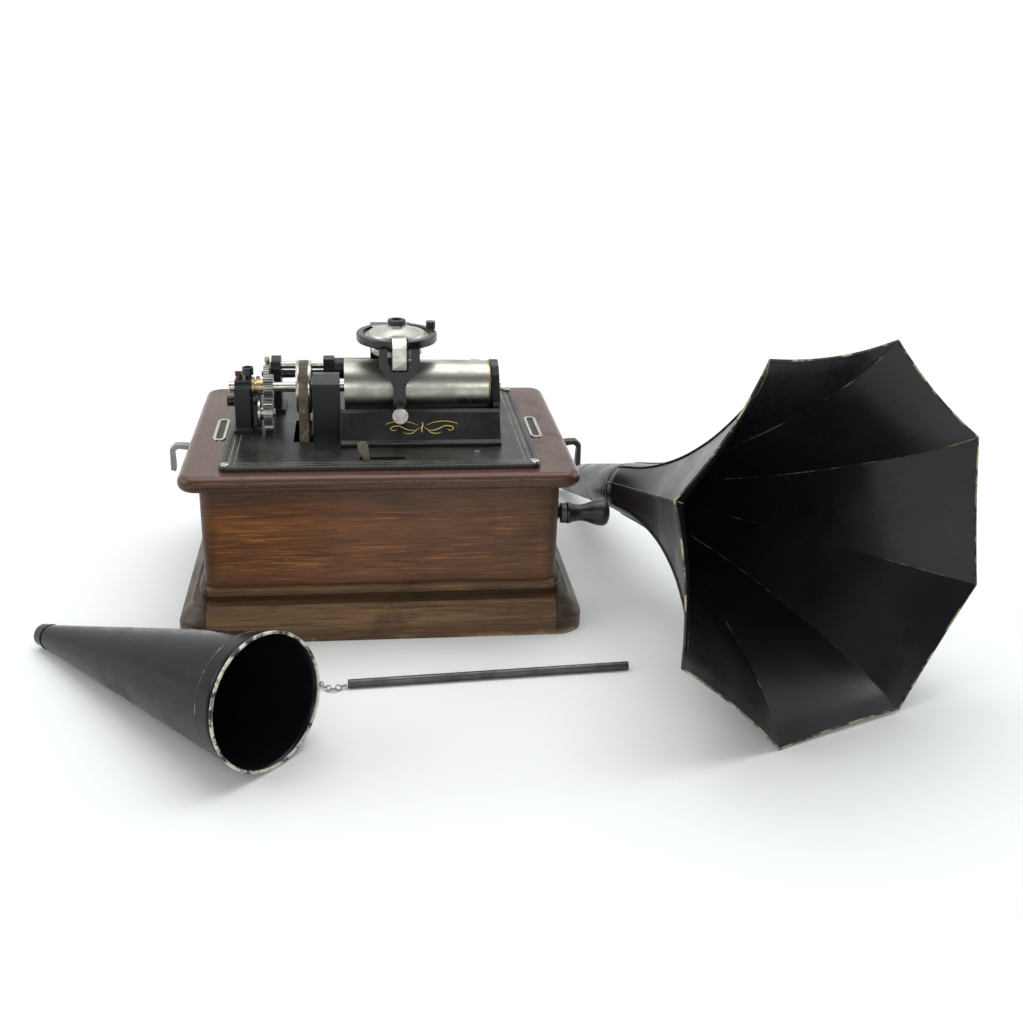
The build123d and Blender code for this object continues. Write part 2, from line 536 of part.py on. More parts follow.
tongue = side_plate([(-27, 222.0), (-27, 223.8), (-36, 223.4), (-41.0, 220.0), (-42.0, 217), (-42.4, 206),
                     (-41.6, 198.5), (-37.4, 198.5), (-37.4, 204), (-39.6, 206), (-38.8, 218), (-38.4, 220.6),
                     (-36.8, 222.0)], ARM_X - 4.6, ARM_X + 6.6)
tongue += rod_x(ARM_X - 6.4, ARM_X + 8.4, -30, 222.2, 1.0)
tongue += block(ARM_X - 4, ARM_X + 6, -38.4, -24, 204.0, 207.0)
tongue += Pos(ARM_X, MAN_Y, 206.5) * Cylinder(21, 5)
tongue += rod_z(ARM_X, MAN_Y, 198.4, 205, 1.2)
save(tongue, "floating_weight")

clamp_a = math.radians(32)
cx = ARM_X + 34.6 * math.cos(clamp_a)
cy0 = MAN_Y + 34.6 * math.sin(clamp_a)
clamp = rod_z(cx, cy0, 215, 219, 2.4) + rod_z(cx, cy0, 219, 225.4, 4.0)
clamp -= ring
save(clamp, "clamp_screw")

lift_x = ARM_X + 1.2
lift = rod_y(lift_x, -52.4, -48.9, 162.4, 6.6)
lift = fillet(lift.edges(), 0.7)
lift += rod_y(lift_x, -49.2, -46.2, 162.4, 1.5)
save(lift, "lift_knob")

# ---------------------------------------------------------------- end gate
gate = side_plate([(50, 148.2), (50, 171), (16, 189), (8.5, 194), (-14, 194), (-20, 188), (-33, 168),
                   (-33, 150), (-26, 145), (30, 145), (33.6, 148.2)], 94, 100.2)
gate += rod_x(94, 100.2, MAN_Y, 184.5, 12.4)
gate = gate & block(90, 110, -60, 50, 140, 197)
gate -= rod_z(97, ROD_Y, 140, 200, 2.4 + FIT)
gate -= block(80, 110, 8, 34, 152, 170)
gate -= rod_x(90, 105, MAN_Y, MAN_Z, 2.2)
save(gate, "end_gate")
pin = turned([(MAN_X1 - 1.2, 0), (MAN_X1 + 0.6, 1.6), (94.0, 2.2), (100.2, 2.2), (100.2, 4.6), (103.0, 4.6),
              (103.6, 4.0), (103.6, 0)], MAN_Y, MAN_Z)
save(pin, "gate_pin")

# ---------------------------------------------------------------- start lever
lean = -17.0
bar = Pos(0, 0, 22) * Box(4.6, 2.4, 44)
bar += rod_y(0, -1.2, 1.2, 0, 4.4)
lever_head = make_face(Polyline((-2.2, 42), (-4.2, 52), (-3.4, 56), (0, 57.4), (3.4, 56), (4.2, 52), (2.2, 42),
                                close=True))
bar += Pos(0, 1.7, 0) * extrude(Plane.XZ * lever_head, 3.4)
bar -= rod_y(0, -5, 5, 0, 2.0 + FIT)
save(Pos(0.7, -86.2, 98.6) * Rot(0, lean, 0) * bar, "start_lever")

# ---------------------------------------------------------------- lid hooks
for side, name in ((-1, "hook_left"), (1, "hook_right")):
    pts = [(145.8, 113.2), (145.8, 117.2), (168, 119.6), (174, 119.6), (178.2, 116), (178.6, 97), (174.6, 95.6),
           (174.2, 99), (175.0, 113.4), (171, 116.2), (150, 113.4)]
    bend = front_plate([(side * x, z) for x, z in pts], 5.5, 13.5)
    bend -= rod_y(side * 148, 0, 20, 115.3, 1.2)
    bend += rod_y(side * 148, 5.5, 13.5, 115.3, 2.9) - rod_y(side * 148, 0, 20, 115.3, 1.2 + FIT)
    bend -= rod_y(side * 148, 0, 20, 115.3, 1.2 + FIT)
    save(bend, name)
lugs = Part()
for side in (-1, 1):
    for y0, y1 in ((1.5, 5.0), (14.0, 17.5)):
        lugs += block(min(side * 142, side * 151), max(side * 142, side * 151), y0, y1, 111.5, 119)
    lugs += block(min(side * 142, side * 143.4), max(side * 142, side * 143.4), 1.5, 17.5, 105, 119)
    lugs += rod_y(side * 148, 1.5, 17.5, 115.3, 1.2)
save(lugs, "hook_brackets")

# ---------------------------------------------------------------- big horn
az = math.radians(BELL_AZ)
el = math.radians(BELL_EL)
out_dir = Vector(math.cos(el) * math.cos(az), math.cos(el) * math.sin(az), math.sin(el))
side_dir = Vector(0, 0, 1).cross(out_dir).normalized()
up_dir = out_dir.cross(side_dir)
roll = math.radians(BELL_ROLL)
corner_dir = side_dir * math.cos(roll) + up_dir * math.sin(roll)
mouth = Vector(*BELL_C)


def panel_stack(shrink, extra):
    rings = []
    for s, r in BELL_SECTIONS:
        at = mouth - out_dir * (s - (extra if s == 0 else 0) + (extra if s == BELL_SECTIONS[-1][0] else 0))
        plane = Plane(origin=at, x_dir=corner_dir, z_dir=-out_dir)
        rings.append(plane * RegularPolygon(r - shrink, 8))
    return loft(rings)


# eight panels that meet at the corner seams
shell = panel_stack(0, 0) - panel_stack(BELL_WALL, 0.5)
bell = []
for k in range(8):
    edge = [corner_dir.rotate(Axis((0, 0, 0), out_dir), 45 * step) * 400 for step in (k, k + 1)]
    back = mouth - out_dir * 300
    fan = make_face(Polyline(back, back + edge[0], back + edge[1], close=True))
    bell += (shell & extrude(fan, 320, dir=out_dir)).solids()
save(Compound(bell), "horn_bell")


def pipe_stack(shrink, extra):
    rings = []
    count = len(TUBE_POINTS)
    for i, (x, y, z, r) in enumerate(TUBE_POINTS):
        a = Vector(*TUBE_POINTS[max(i - 1, 0)][:3])
        b = Vector(*TUBE_POINTS[min(i + 1, count - 1)][:3])
        run = (b - a).normalized()
        if i == 0:
            run = -out_dir
        at = Vector(x, y, z)
        if i == 0:
            at = at - run * extra
        if i == count - 1:
            at = at + run * extra
        rings.append(Plane(origin=at, z_dir=run, x_dir=(1, 0, 0)) * Circle(r - shrink))
    return loft(rings)


save(pipe_stack(0, 0) - pipe_stack(BELL_WALL, 0.5), "horn_tube")

# ---------------------------------------------------------------- small horn
half = math.atan2(CONE_R - CONE_TIP_R, CONE_L)
caz = math.radians(CONE_AZ)
cone_dir = Vector(math.cos(half) * math.cos(caz), math.cos(half) * math.sin(caz), math.sin(half))
cone_c = Vector(CONE_C[0], CONE_C[1], CONE_R * math.cos(half) + 1.2)
cone_plane = Plane(origin=cone_c, x_dir=Vector(0, 0, 1).cross(cone_dir), z_dir=cone_dir)
cone_face = Plane.XZ * make_face(Polyline(
    (CONE_R, 0), (CONE_TIP_R, -CONE_L), (CONE_TIP_R - CONE_WALL, -CONE_L), (CONE_R - CONE_WALL, 0), close=True))
cone = revolve(cone_face, Axis.Z, 360)
cone += Torus(CONE_R - 0.3, 1.2)
collar_at = Pos(0, 0, -CONE_L + 9)
cone += collar_at * Cylinder(CONE_TIP_R + 1.9, 2) - collar_at * Cylinder(CONE_TIP_R, 4)
save(cone_plane * cone, "small_horn")

# ---------------------------------------------------------------- crane rod and chain
a = Vector(CRANE_A[0], CRANE_A[1], CRANE_R)
b = Vector(CRANE_B[0], CRANE_B[1], CRANE_R)
run = b - a
rod_plane = Plane(origin=(a + b) / 2, z_dir=run, x_dir=(0, 0, 1))
pole = Cylinder(CRANE_R, run.length) - Pos(0, 0, 6) * Cylinder(CRANE_R - 0.9, run.length)
for t in (run.length / 2 - 4, run.length / 2 - 11):
    pole -= Pos(0, 0, t) * Rot(0, 90, 0) * Cylinder(1.0, 20)
save(rod_plane * pole, "crane_rod")

chain = Part()
spots = [(-32.2, -203.1), (-36.0, -205.6), (-39.8, -207.0), (-43.6, -206.0), (-46.8, -203.2), (-49.2, -200.0),
         (-51.6, -196.6), (-54.0, -193.2)]
for i, (px, py) in enumerate(spots):
    nx, ny = spots[min(i + 1, len(spots) - 1)]
    qx, qy = spots[max(i - 1, 0)]
    yaw = math.degrees(math.atan2(ny - qy, nx - qx))
    link = Torus(2.2, 0.55)
    tip = 32 if i % 2 == 0 else -32
    chain += Pos(px, py, 2.0) * Rot(0, 0, yaw) * Rot(tip, 0, 0) * link
save(chain, "chain")
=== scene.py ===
"""Looks for the table-top cylinder phonograph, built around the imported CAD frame. Metres, row frame."""

import json
import math

import bmesh
import bpy
from mathutils import Matrix, Vector


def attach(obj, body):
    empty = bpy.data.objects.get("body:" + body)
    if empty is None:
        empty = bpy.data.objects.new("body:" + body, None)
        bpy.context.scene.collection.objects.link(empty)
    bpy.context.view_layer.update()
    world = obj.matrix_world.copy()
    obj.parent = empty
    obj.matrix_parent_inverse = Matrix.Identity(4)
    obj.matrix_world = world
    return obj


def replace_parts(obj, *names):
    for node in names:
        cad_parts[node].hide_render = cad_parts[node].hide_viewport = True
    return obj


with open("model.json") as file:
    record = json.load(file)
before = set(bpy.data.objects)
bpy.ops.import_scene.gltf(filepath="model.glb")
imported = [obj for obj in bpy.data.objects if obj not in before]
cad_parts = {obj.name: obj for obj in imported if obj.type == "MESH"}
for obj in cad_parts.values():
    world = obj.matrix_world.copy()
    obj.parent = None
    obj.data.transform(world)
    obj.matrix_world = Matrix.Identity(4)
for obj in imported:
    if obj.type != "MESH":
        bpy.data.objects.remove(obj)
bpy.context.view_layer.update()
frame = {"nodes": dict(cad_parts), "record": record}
NODES = frame["nodes"]
SCENE = bpy.context.scene
MM = 0.001


# ---------------------------------------------------------------- camera and light
CAMERA_PLACE = (-0.0164, -0.9975, 0.4775)
CAMERA_YAW, CAMERA_PITCH, CAMERA_ROLL = math.radians(7.623), math.radians(22.799), math.radians(-1.946)
CAMERA_LENS = 42.69
SENSOR = 36.0


def make_camera():
    """Camera at the photograph's viewing angle: yaw to the right, pitch down, then roll."""
    yaw, pitch, roll = CAMERA_YAW, CAMERA_PITCH, CAMERA_ROLL
    fwd = Vector((math.sin(yaw) * math.cos(pitch), math.cos(yaw) * math.cos(pitch), -math.sin(pitch)))
    right = Vector((math.cos(yaw), -math.sin(yaw), 0))
    down = fwd.cross(right)
    right_rolled = math.cos(roll) * right + math.sin(roll) * down
    down_rolled = -math.sin(roll) * right + math.cos(roll) * down
    data = bpy.data.cameras.new("camera")
    data.sensor_fit = "VERTICAL"
    data.sensor_height = SENSOR
    data.lens = CAMERA_LENS
    data.clip_end = 60
    obj = bpy.data.objects.new("camera", data)
    SCENE.collection.objects.link(obj)
    turn = Matrix((right_rolled, -down_rolled, -fwd)).transposed()
    obj.matrix_world = Matrix.Translation(CAMERA_PLACE) @ turn.to_4x4()
    SCENE.camera = obj


def softbox(name, place, target, size, size_y, power, colour):
    """Rectangular area light, aimed at the target."""
    data = bpy.data.lights.new(name, "AREA")
    data.shape = "RECTANGLE"
    data.size, data.size_y, data.energy, data.color = size, size_y, power, colour
    obj = bpy.data.objects.new(name, data)
    SCENE.collection.objects.link(obj)
    obj.location = place
    obj.rotation_euler = (Vector(target) - Vector(place)).to_track_quat("-Z", "Y").to_euler()


def make_world():
    """A white studio, dimmer towards the front, where the room is dark."""
    world = bpy.data.worlds.new("world")
    SCENE.world = world
    world.use_nodes = True
    nt = world.node_tree
    nt.nodes.clear()
    out = nt.nodes.new("ShaderNodeOutputWorld")
    room = nt.nodes.new("ShaderNodeBackground")
    white = nt.nodes.new("ShaderNodeBackground")
    path = nt.nodes.new("ShaderNodeLightPath")
    both = nt.nodes.new("ShaderNodeMixShader")
    co = nt.nodes.new("ShaderNodeTexCoord")
    sep = nt.nodes.new("ShaderNodeSeparateXYZ")
    ramp = nt.nodes.new("ShaderNodeValToRGB")
    half = nt.nodes.new("ShaderNodeMath")
    half.operation = "MULTIPLY_ADD"
    half.inputs[1].default_value = 0.5
    half.inputs[2].default_value = 0.5
    nt.links.new(co.outputs["Generated"], sep.inputs[0])
    nt.links.new(sep.outputs["Y"], half.inputs[0])
    nt.links.new(half.outputs[0], ramp.inputs[0])
    ramp.color_ramp.elements[0].position = 0.22
    ramp.color_ramp.elements[0].color = (0.16, 0.165, 0.17, 1)
    ramp.color_ramp.elements[1].position = 0.72
    ramp.color_ramp.elements[1].color = (0.95, 0.975, 0.97, 1)
    nt.links.new(ramp.outputs[0], room.inputs["Color"])
    room.inputs["Strength"].default_value = 1.0
    white.inputs["Color"].default_value = (0.985, 1.0, 0.99, 1)
    white.inputs["Strength"].default_value = 1.1
    nt.links.new(path.outputs["Is Camera Ray"], both.inputs[0])
    nt.links.new(room.outputs[0], both.inputs[1])
    nt.links.new(white.outputs[0], both.inputs[2])
    nt.links.new(both.outputs[0], out.inputs["Surface"])


make_camera()
make_world()
softbox("overhead", (0.1, 0.25, 1.7), (0.1, 0.0, 0.1), 1.9, 1.3, 20, (0.99, 1.0, 1.0))
softbox("left_box", (-1.55, -0.15, 0.95), (0.0, 0.0, 0.1), 1.1, 0.9, 8, (1.0, 1.0, 1.0))
softbox("right_box", (1.75, 0.35, 1.0), (0.2, -0.1, 0.1), 0.9, 0.9, 7, (0.97, 0.99, 1.0))
softbox("front_strip", (0.05, -1.35, 0.62), (0.05, 0.0, 0.16), 1.3, 0.26, 4.5, (1.0, 0.99, 0.97))
SCENE.view_settings.view_transform = "Standard"
SCENE.view_settings.look = "None"


# ---------------------------------------------------------------- node helpers
class Mat:
    """A Principled material with short calls for its procedural nodes."""

    def __init__(self, name, **sockets):
        self.mat = bpy.data.materials.new(name)
        self.mat.use_nodes = True
        self.nt = self.mat.node_tree
        self.nt.nodes.clear()
        self.out = self.nt.nodes.new("ShaderNodeOutputMaterial")
        self.bsdf = self.nt.nodes.new("ShaderNodeBsdfPrincipled")
        self.nt.links.new(self.bsdf.outputs[0], self.out.inputs["Surface"])
        self.co = self.nt.nodes.new("ShaderNodeTexCoord").outputs["Object"]
        for key, value in sockets.items():
            self.put(key.replace("_", " "), value)

    def put(self, socket, value):
        target = self.bsdf.inputs[socket]
        if isinstance(value, bpy.types.NodeSocket):
            self.nt.links.new(value, target)
        elif isinstance(value, tuple) and len(value) == 3 and target.type == "RGBA":
            target.default_value = (*value, 1)
        else:
            target.default_value = value
        return self

    def _in(self, socket, value):
        if isinstance(value, bpy.types.NodeSocket):
            self.nt.links.new(value, socket)
        elif isinstance(value, tuple) and socket.type == "RGBA":
            socket.default_value = (*value[:3], 1)
        else:
            socket.default_value = value

    def map(self, scale=(1, 1, 1), loc=(0, 0, 0), rot=(0, 0, 0), src=None):
        n = self.nt.nodes.new("ShaderNodeMapping")
        self._in(n.inputs["Vector"], src or self.co)
        n.inputs["Scale"].default_value = scale
        n.inputs["Location"].default_value = loc
        n.inputs["Rotation"].default_value = rot
        return n.outputs[0]

    def noise(self, scale, detail=3.0, rough=0.55, src=None, distort=0.0):
        n = self.nt.nodes.new("ShaderNodeTexNoise")
        self._in(n.inputs["Vector"], src or self.co)
        n.inputs["Scale"].default_value = scale
        n.inputs["Detail"].default_value = detail
        n.inputs["Roughness"].default_value = rough
        n.inputs["Distortion"].default_value = distort
        return n.outputs[0]

    def voronoi(self, scale):
        n = self.nt.nodes.new("ShaderNodeTexVoronoi")
        self._in(n.inputs["Vector"], self.co)
        n.inputs["Scale"].default_value = scale
        return n.outputs["Distance"]

    def wave(self, scale, src):
        """Straight, even bands along X."""
        n = self.nt.nodes.new("ShaderNodeTexWave")
        n.wave_type = "BANDS"
        n.bands_direction = "X"
        self._in(n.inputs["Vector"], src)
        n.inputs["Scale"].default_value = scale
        n.inputs["Distortion"].default_value = 0.0
        n.inputs["Detail"].default_value = 0.0
        return n.outputs["Fac"]

    def sep(self):
        n = self.nt.nodes.new("ShaderNodeSeparateXYZ")
        self._in(n.inputs[0], self.co)
        return n.outputs

    def math(self, op, a, b=0.0):
        n = self.nt.nodes.new("ShaderNodeMath")
        n.operation = op
        self._in(n.inputs[0], a)
        self._in(n.inputs[1], b)
        return n.outputs[0]

    def range(self, value, lo, hi, out0=0.0, out1=1.0, smooth=True):
        n = self.nt.nodes.new("ShaderNodeMapRange")
        n.interpolation_type = "SMOOTHSTEP" if smooth else "LINEAR"
        self._in(n.inputs["Value"], value)
        for key, number in zip(("From Min", "From Max", "To Min", "To Max"), (lo, hi, out0, out1)):
            n.inputs[key].default_value = number
        return n.outputs[0]

    def mix(self, fac, a, b):
        """Mix of two colours."""
        n = self.nt.nodes.new("ShaderNodeMix")
        n.data_type = "RGBA"
        self._in(n.inputs[0], fac)
        self._in(n.inputs[6], a)
        self._in(n.inputs[7], b)
        return n.outputs[2]

    def blend(self, fac, a, b):
        """Mix of two numbers."""
        n = self.nt.nodes.new("ShaderNodeMix")
        n.data_type = "FLOAT"
        self._in(n.inputs[0], fac)
        self._in(n.inputs[2], a)
        self._in(n.inputs[3], b)
        return n.outputs[0]

    def bump(self, height, strength, distance):
        n = self.nt.nodes.new("ShaderNodeBump")
        self._in(n.inputs["Height"], height)
        n.inputs["Strength"].default_value = strength
        n.inputs["Distance"].default_value = distance
        return n.outputs[0]


def mitred(m, reach):
    """0 where the grain runs along X, 1 where it runs along Y, and a thin dark line at the mitre joint."""
    axes = m.sep()
    gap = m.math("SUBTRACT", m.math("ABSOLUTE", axes["X"]), m.math("ABSOLUTE", axes["Y"]))
    gap = m.math("SUBTRACT", gap, reach)
    turn = m.range(gap, -0.0001, 0.0001, smooth=False)
    line = m.range(m.math("ABSOLUTE", gap), 0.0, 0.0007, 1.0, 0.0)
    return turn, line


def wood(name, along, ground, mid, fleck, dark, gloss=0.42, reach=None, seed=0.0, wear_and_shade=None, streaks=0.6):
    """Quarter-cut oak: short bright flecks and long dark pores along the grain, grime and rubbed patches."""
    m = Mat(name)
    squeeze = {"X": (26, 560, 560), "Y": (560, 26, 560)}
    pore_squeeze = {"X": (55, 1700, 1700), "Y": (1700, 55, 1700)}
    long_squeeze = {"X": (2.2, 38, 38), "Y": (38, 2.2, 38)}

    def grain(axis):
        at = (seed, seed * 1.7, seed * 0.6)
        return (m.noise(1.0, 4, 0.62, src=m.map(scale=squeeze[axis], loc=at), distort=0.25),
                m.noise(1.0, 3, 0.6, src=m.map(scale=pore_squeeze[axis], loc=at)),
                m.noise(1.0, 4, 0.6, src=m.map(scale=long_squeeze[axis], loc=at), distort=0.8))

    flecks, pores, figure = grain("X" if reach else along)
    joint = None
    if reach:
        turn, joint = mitred(m, reach)
        side = grain("Y")
        flecks = m.blend(turn, flecks, side[0])
        pores = m.blend(turn, pores, side[1])
        figure = m.blend(turn, figure, side[2])
    broad = m.noise(7.0, 4, 0.55)
    patch = m.noise(26.0, 4, 0.65)
    col = m.mix(m.range(figure, 0.32, 0.68), ground, mid)
    strength = m.math("MULTIPLY", m.range(flecks, 0.52, 0.70), m.range(broad, 0.36, 0.62, 0.15, 1.0))
    col = m.mix(m.math("MULTIPLY", strength, streaks), col, fleck)
    col = m.mix(m.range(flecks, 0.47, 0.33, 0.0, 0.65), col, dark)
    col = m.mix(m.range(pores, 0.58, 0.70, 0.0, 0.8), col, tuple(v * 0.45 for v in dark))
    col = m.mix(m.range(patch, 0.54, 0.76, 0.0, 0.5), col, tuple(v * 0.8 for v in dark))
    # the given function adds wear and painted shade
    if wear_and_shade:
        col = wear_and_shade(m, col)
    if joint is not None:
        col = m.mix(m.math("MULTIPLY", joint, 0.75), col, tuple(v * 0.3 for v in dark))
    chip = m.range(m.voronoi(150.0), 0.035, 0.05, 1.0, 0.0)
    rare = m.range(m.noise(31.0, 1, 0.5), 0.60, 0.64)
    col = m.mix(m.math("MULTIPLY", chip, rare), col, (0.62, 0.56, 0.46))
    m.put("Base Color", col)
    m.put("Specular IOR Level", 0.36)
    m.put("Roughness", m.range(m.math("ADD", m.math("MULTIPLY", patch, 0.6), m.math("MULTIPLY", pores, 0.4)),
                               0.35, 0.7, gloss - 0.08, gloss + 0.2))
    relief = m.math("SUBTRACT", m.math("MULTIPLY", flecks, 0.5), m.math("MULTIPLY", pores, 0.7))
    m.put("Normal", m.bump(relief, 0.4, 0.0004))
    return m.mat


def front_shade_and_tone(m, col):
    """Painted shade under the lid, at the corners and along the foot, and a greyer right half."""
    axes = m.sep()
    edge_wobble = m.noise(14.0, 3, 0.6)
    # painted shade: darker under the overhanging rim, towards the corners and in the crease above the foot
    under = m.range(m.math("ADD", axes["Z"], m.math("MULTIPLY", edge_wobble, 0.03)), 0.108, 0.136)
    low = m.range(m.math("SUBTRACT", axes["Z"], m.math("MULTIPLY", edge_wobble, 0.012)), 0.048, 0.030)
    corner = m.range(m.math("ABSOLUTE", axes["X"]), 0.126, 0.141)
    painted_shade_mask = m.math("MAXIMUM", m.math("MULTIPLY", under, 0.62), m.math("MULTIPLY", low, 0.5))
    painted_shade_mask = m.math("MAXIMUM", painted_shade_mask, m.math("MULTIPLY", corner, 0.72))
    col = m.mix(painted_shade_mask, col, (0.030, 0.018, 0.012))
    right = m.range(m.math("ADD", axes["X"], m.math("MULTIPLY", edge_wobble, 0.12)), 0.0, 0.16, 0.0, 0.55)
    return m.mix(right, col, (0.085, 0.045, 0.026))


def plinth_shade_and_wear(m, col):
    """Painted shade in the hollows, dark rounded corner pieces with open joints, bare wood along the front
    edge.
    """
    axes = m.sep()
    across = m.math("ABSOLUTE", axes["X"])
    corner = m.range(across, 0.1408, 0.1412)
    joint = m.range(m.math("ABSOLUTE", m.math("SUBTRACT", across, 0.1408)), 0.0003, 0.0009, 1.0, 0.0)
    col = m.mix(m.math("MULTIPLY", corner, 0.72), col, (0.028, 0.021, 0.015))
    col = m.mix(m.math("MULTIPLY", joint, 0.85), col, (0.012, 0.007, 0.005))
    edge_wobble = m.noise(20.0, 4, 0.65)
    # painted shade: darker in the hollow of the moulding
    painted_hollow_shade = m.range(m.math("ABSOLUTE", m.math("SUBTRACT", axes["Z"], 0.0295)), 0.0, 0.004, 0.75, 0.0)
    col = m.mix(painted_hollow_shade, col, (0.030, 0.018, 0.010))
    foot = m.range(m.math("ADD", axes["Z"], m.math("MULTIPLY", edge_wobble, 0.012)), 0.012, 0.0045)
    run = m.range(axes["X"], 0.045, 0.085)
    front = m.range(axes["Y"], -0.12, -0.127)
    bare = m.math("MULTIPLY", m.math("MULTIPLY", foot, run), front)
    col = m.mix(bare, col, (0.46, 0.30, 0.19))
    rub = m.math("MULTIPLY", foot, m.range(m.noise(60.0, 3, 0.7), 0.58, 0.68))
    return m.mix(m.math("MULTIPLY", rub, 0.7), col, (0.42, 0.30, 0.17))


def rim_shade_and_wear(m, col):
    axes = m.sep()
    # painted shade: darker along the lower edge of the rim, where it meets the body; the scuffs there are
    # real wear
    edge = m.range(axes["Z"], 0.1345, 0.1305)
    scuff = m.range(m.noise(1.0, 3, 0.7, src=m.map(scale=(40, 40, 420))), 0.66, 0.72)
    col = m.mix(m.math("MULTIPLY", edge, 0.35), col, (0.045, 0.018, 0.012))
    return m.mix(m.math("MULTIPLY", m.math("MULTIPLY", scuff, edge), 0.55), col, (0.36, 0.2, 0.08))


def japan(name, base=(0.0085, 0.009, 0.0095), rough=0.34, dust=0.2, lines=None, spec=0.5, axis_scale=1.0,
          relief=0.06, grain=0.4):
    """Black japanning over metal: soft orange peel, clouds of dust, a few chips down to bare metal."""
    m = Mat(name)
    big = m.noise(30.0 * axis_scale, 4, 0.6)
    small = m.noise(420.0, 2, 0.5)
    peel = m.noise(1100.0, 2, 0.5)
    col = m.mix(m.range(big, 0.42, 0.72, 0.0, dust), base, (0.055, 0.053, 0.048))
    chips = m.range(m.voronoi(300.0), 0.0, 0.09, 1.0, 0.0)
    where = m.range(m.noise(45.0, 3, 0.6), 0.64, 0.72)
    col = m.mix(m.math("MULTIPLY", chips, where), col, (0.17, 0.155, 0.135))
    if lines:
        col = lines(m, col)
    m.put("Base Color", col)
    patches = m.math("ADD", m.math("MULTIPLY", big, 1 - grain), m.math("MULTIPLY", small, grain))
    m.put("Roughness", m.range(patches, 0.34, 0.7, rough - 0.06, rough + 0.16))
    m.put("Specular IOR Level", spec)
    m.put("Normal", m.bump(m.math("ADD", m.math("MULTIPLY", peel, 0.5), small), relief, 0.0002))
    return m.mat


def plate_lines(m, col):
    """Two worn pinstripes that run round the bedplate inside its raised border."""
    axes = m.sep()
    x = m.math("SUBTRACT", m.math("ABSOLUTE", axes["X"]), 0.1185)
    y = m.math("SUBTRACT", m.math("ABSOLUTE", m.math("ADD", axes["Y"], 0.003)), 0.0945)
    frame_distance = m.math("MAXIMUM", x, y)
    top = m.range(axes["Z"], 0.1388, 0.1391)
    worn = m.range(m.noise(38.0, 4, 0.7), 0.34, 0.56)
    both = None
    for offset in (0.0, 0.0042):
        line = m.range(m.math("ABSOLUTE", m.math("ADD", frame_distance, offset)), 0.0002, 0.0005, 1.0, 0.0)
        both = line if both is None else m.math("MAXIMUM", both, line)
    mask = m.math("MULTIPLY", m.math("MULTIPLY", both, top), worn)
    return m.mix(m.math("MULTIPLY", mask, 0.6), col, (0.34, 0.30, 0.19))


def metal(name, base, rough=0.25, cloud=0.5, stain=(0.25, 0.24, 0.2), turn="X", tarnish=0.35, big_scale=26.0):
    """Plated or turned metal: cloudy tarnish, fine turning marks, small pits."""
    m = Mat(name, Metallic=1.0)
    big = m.noise(big_scale, 4, 0.6, distort=0.3)
    mid = m.noise(120.0, 3, 0.6)
    squeeze = {"X": (14, 1, 1), "Y": (1, 14, 1), "Z": (1, 1, 14)}[turn]
    marks = m.noise(220.0, 2, 0.6, src=m.map(scale=squeeze))
    pits = m.range(m.noise(700.0, 2, 0.6), 0.66, 0.74)
    col = m.mix(m.range(big, 0.42, 0.66, 0.0, cloud), base, tuple(v * 0.5 for v in base))
    col = m.mix(m.math("MULTIPLY", m.range(mid, 0.5, 0.7), tarnish), col, stain)
    col = m.mix(m.math("MULTIPLY", pits, 0.55), col, tuple(v * 0.35 for v in stain))
    m.put("Base Color", col)
    m.put("Roughness", m.range(m.math("ADD", m.math("MULTIPLY", big, 0.75), m.math("MULTIPLY", marks, 0.25)),
                               0.32, 0.7, rough - 0.05, rough + 0.2))
    m.put("Normal", m.bump(m.math("SUBTRACT", m.math("MULTIPLY", marks, 0.5), pits), 0.10, 0.0002))
    return m.mat


def plain(name, col_a, col_b, scale, rough, bump=0.2, dist=0.0003, **sockets):
    m = Mat(name, **sockets)
    n = m.noise(scale, 4, 0.6)
    m.put("Base Color", m.mix(m.range(n, 0.35, 0.7), col_a, col_b))
    m.put("Roughness", m.range(n, 0.3, 0.7, rough - 0.06, rough + 0.12))
    m.put("Normal", m.bump(m.noise(scale * 6, 3, 0.6), bump, dist))
    return m.mat


def worn_line(name, gold=(0.52, 0.43, 0.21), bare=0.45, scale=60.0):
    """Painted line or rubbed edge: gold where it is left, black or bare where it has worn."""
    m = Mat(name)
    left = m.range(m.noise(scale, 4, 0.7), bare, bare + 0.12)
    m.put("Base Color", m.mix(left, (0.012, 0.012, 0.013), gold))
    m.put("Metallic", m.math("MULTIPLY", left, 0.35))
    m.put("Roughness", m.range(left, 0.0, 1.0, 0.35, 0.55))
    m.put("Normal", m.bump(m.noise(600.0, 2, 0.6), 0.1, 0.0002))
    return m.mat


def belt_leather():
    """Dirty, cracked belt: pale rubbed flecks over dark brown, cross cracks."""
    m = Mat("leather")
    big = m.noise(140.0, 4, 0.7)
    cracks = m.range(m.noise(1.0, 3, 0.7, src=m.map(scale=(160, 900, 900))), 0.60, 0.72)
    col = m.mix(m.range(big, 0.42, 0.66), (0.055, 0.040, 0.028), (0.17, 0.14, 0.105))
    col = m.mix(m.math("MULTIPLY", cracks, 0.7), col, (0.02, 0.016, 0.012))
    rub = m.range(m.noise(420.0, 3, 0.7), 0.62, 0.72)
    col = m.mix(m.math("MULTIPLY", rub, 0.6), col, (0.36, 0.32, 0.25))
    m.put("Base Color", col)
    m.put("Roughness", m.range(big, 0.3, 0.7, 0.6, 0.85))
    m.put("Normal", m.bump(m.math("SUBTRACT", big, cracks), 0.5, 0.0006))
    return m.mat


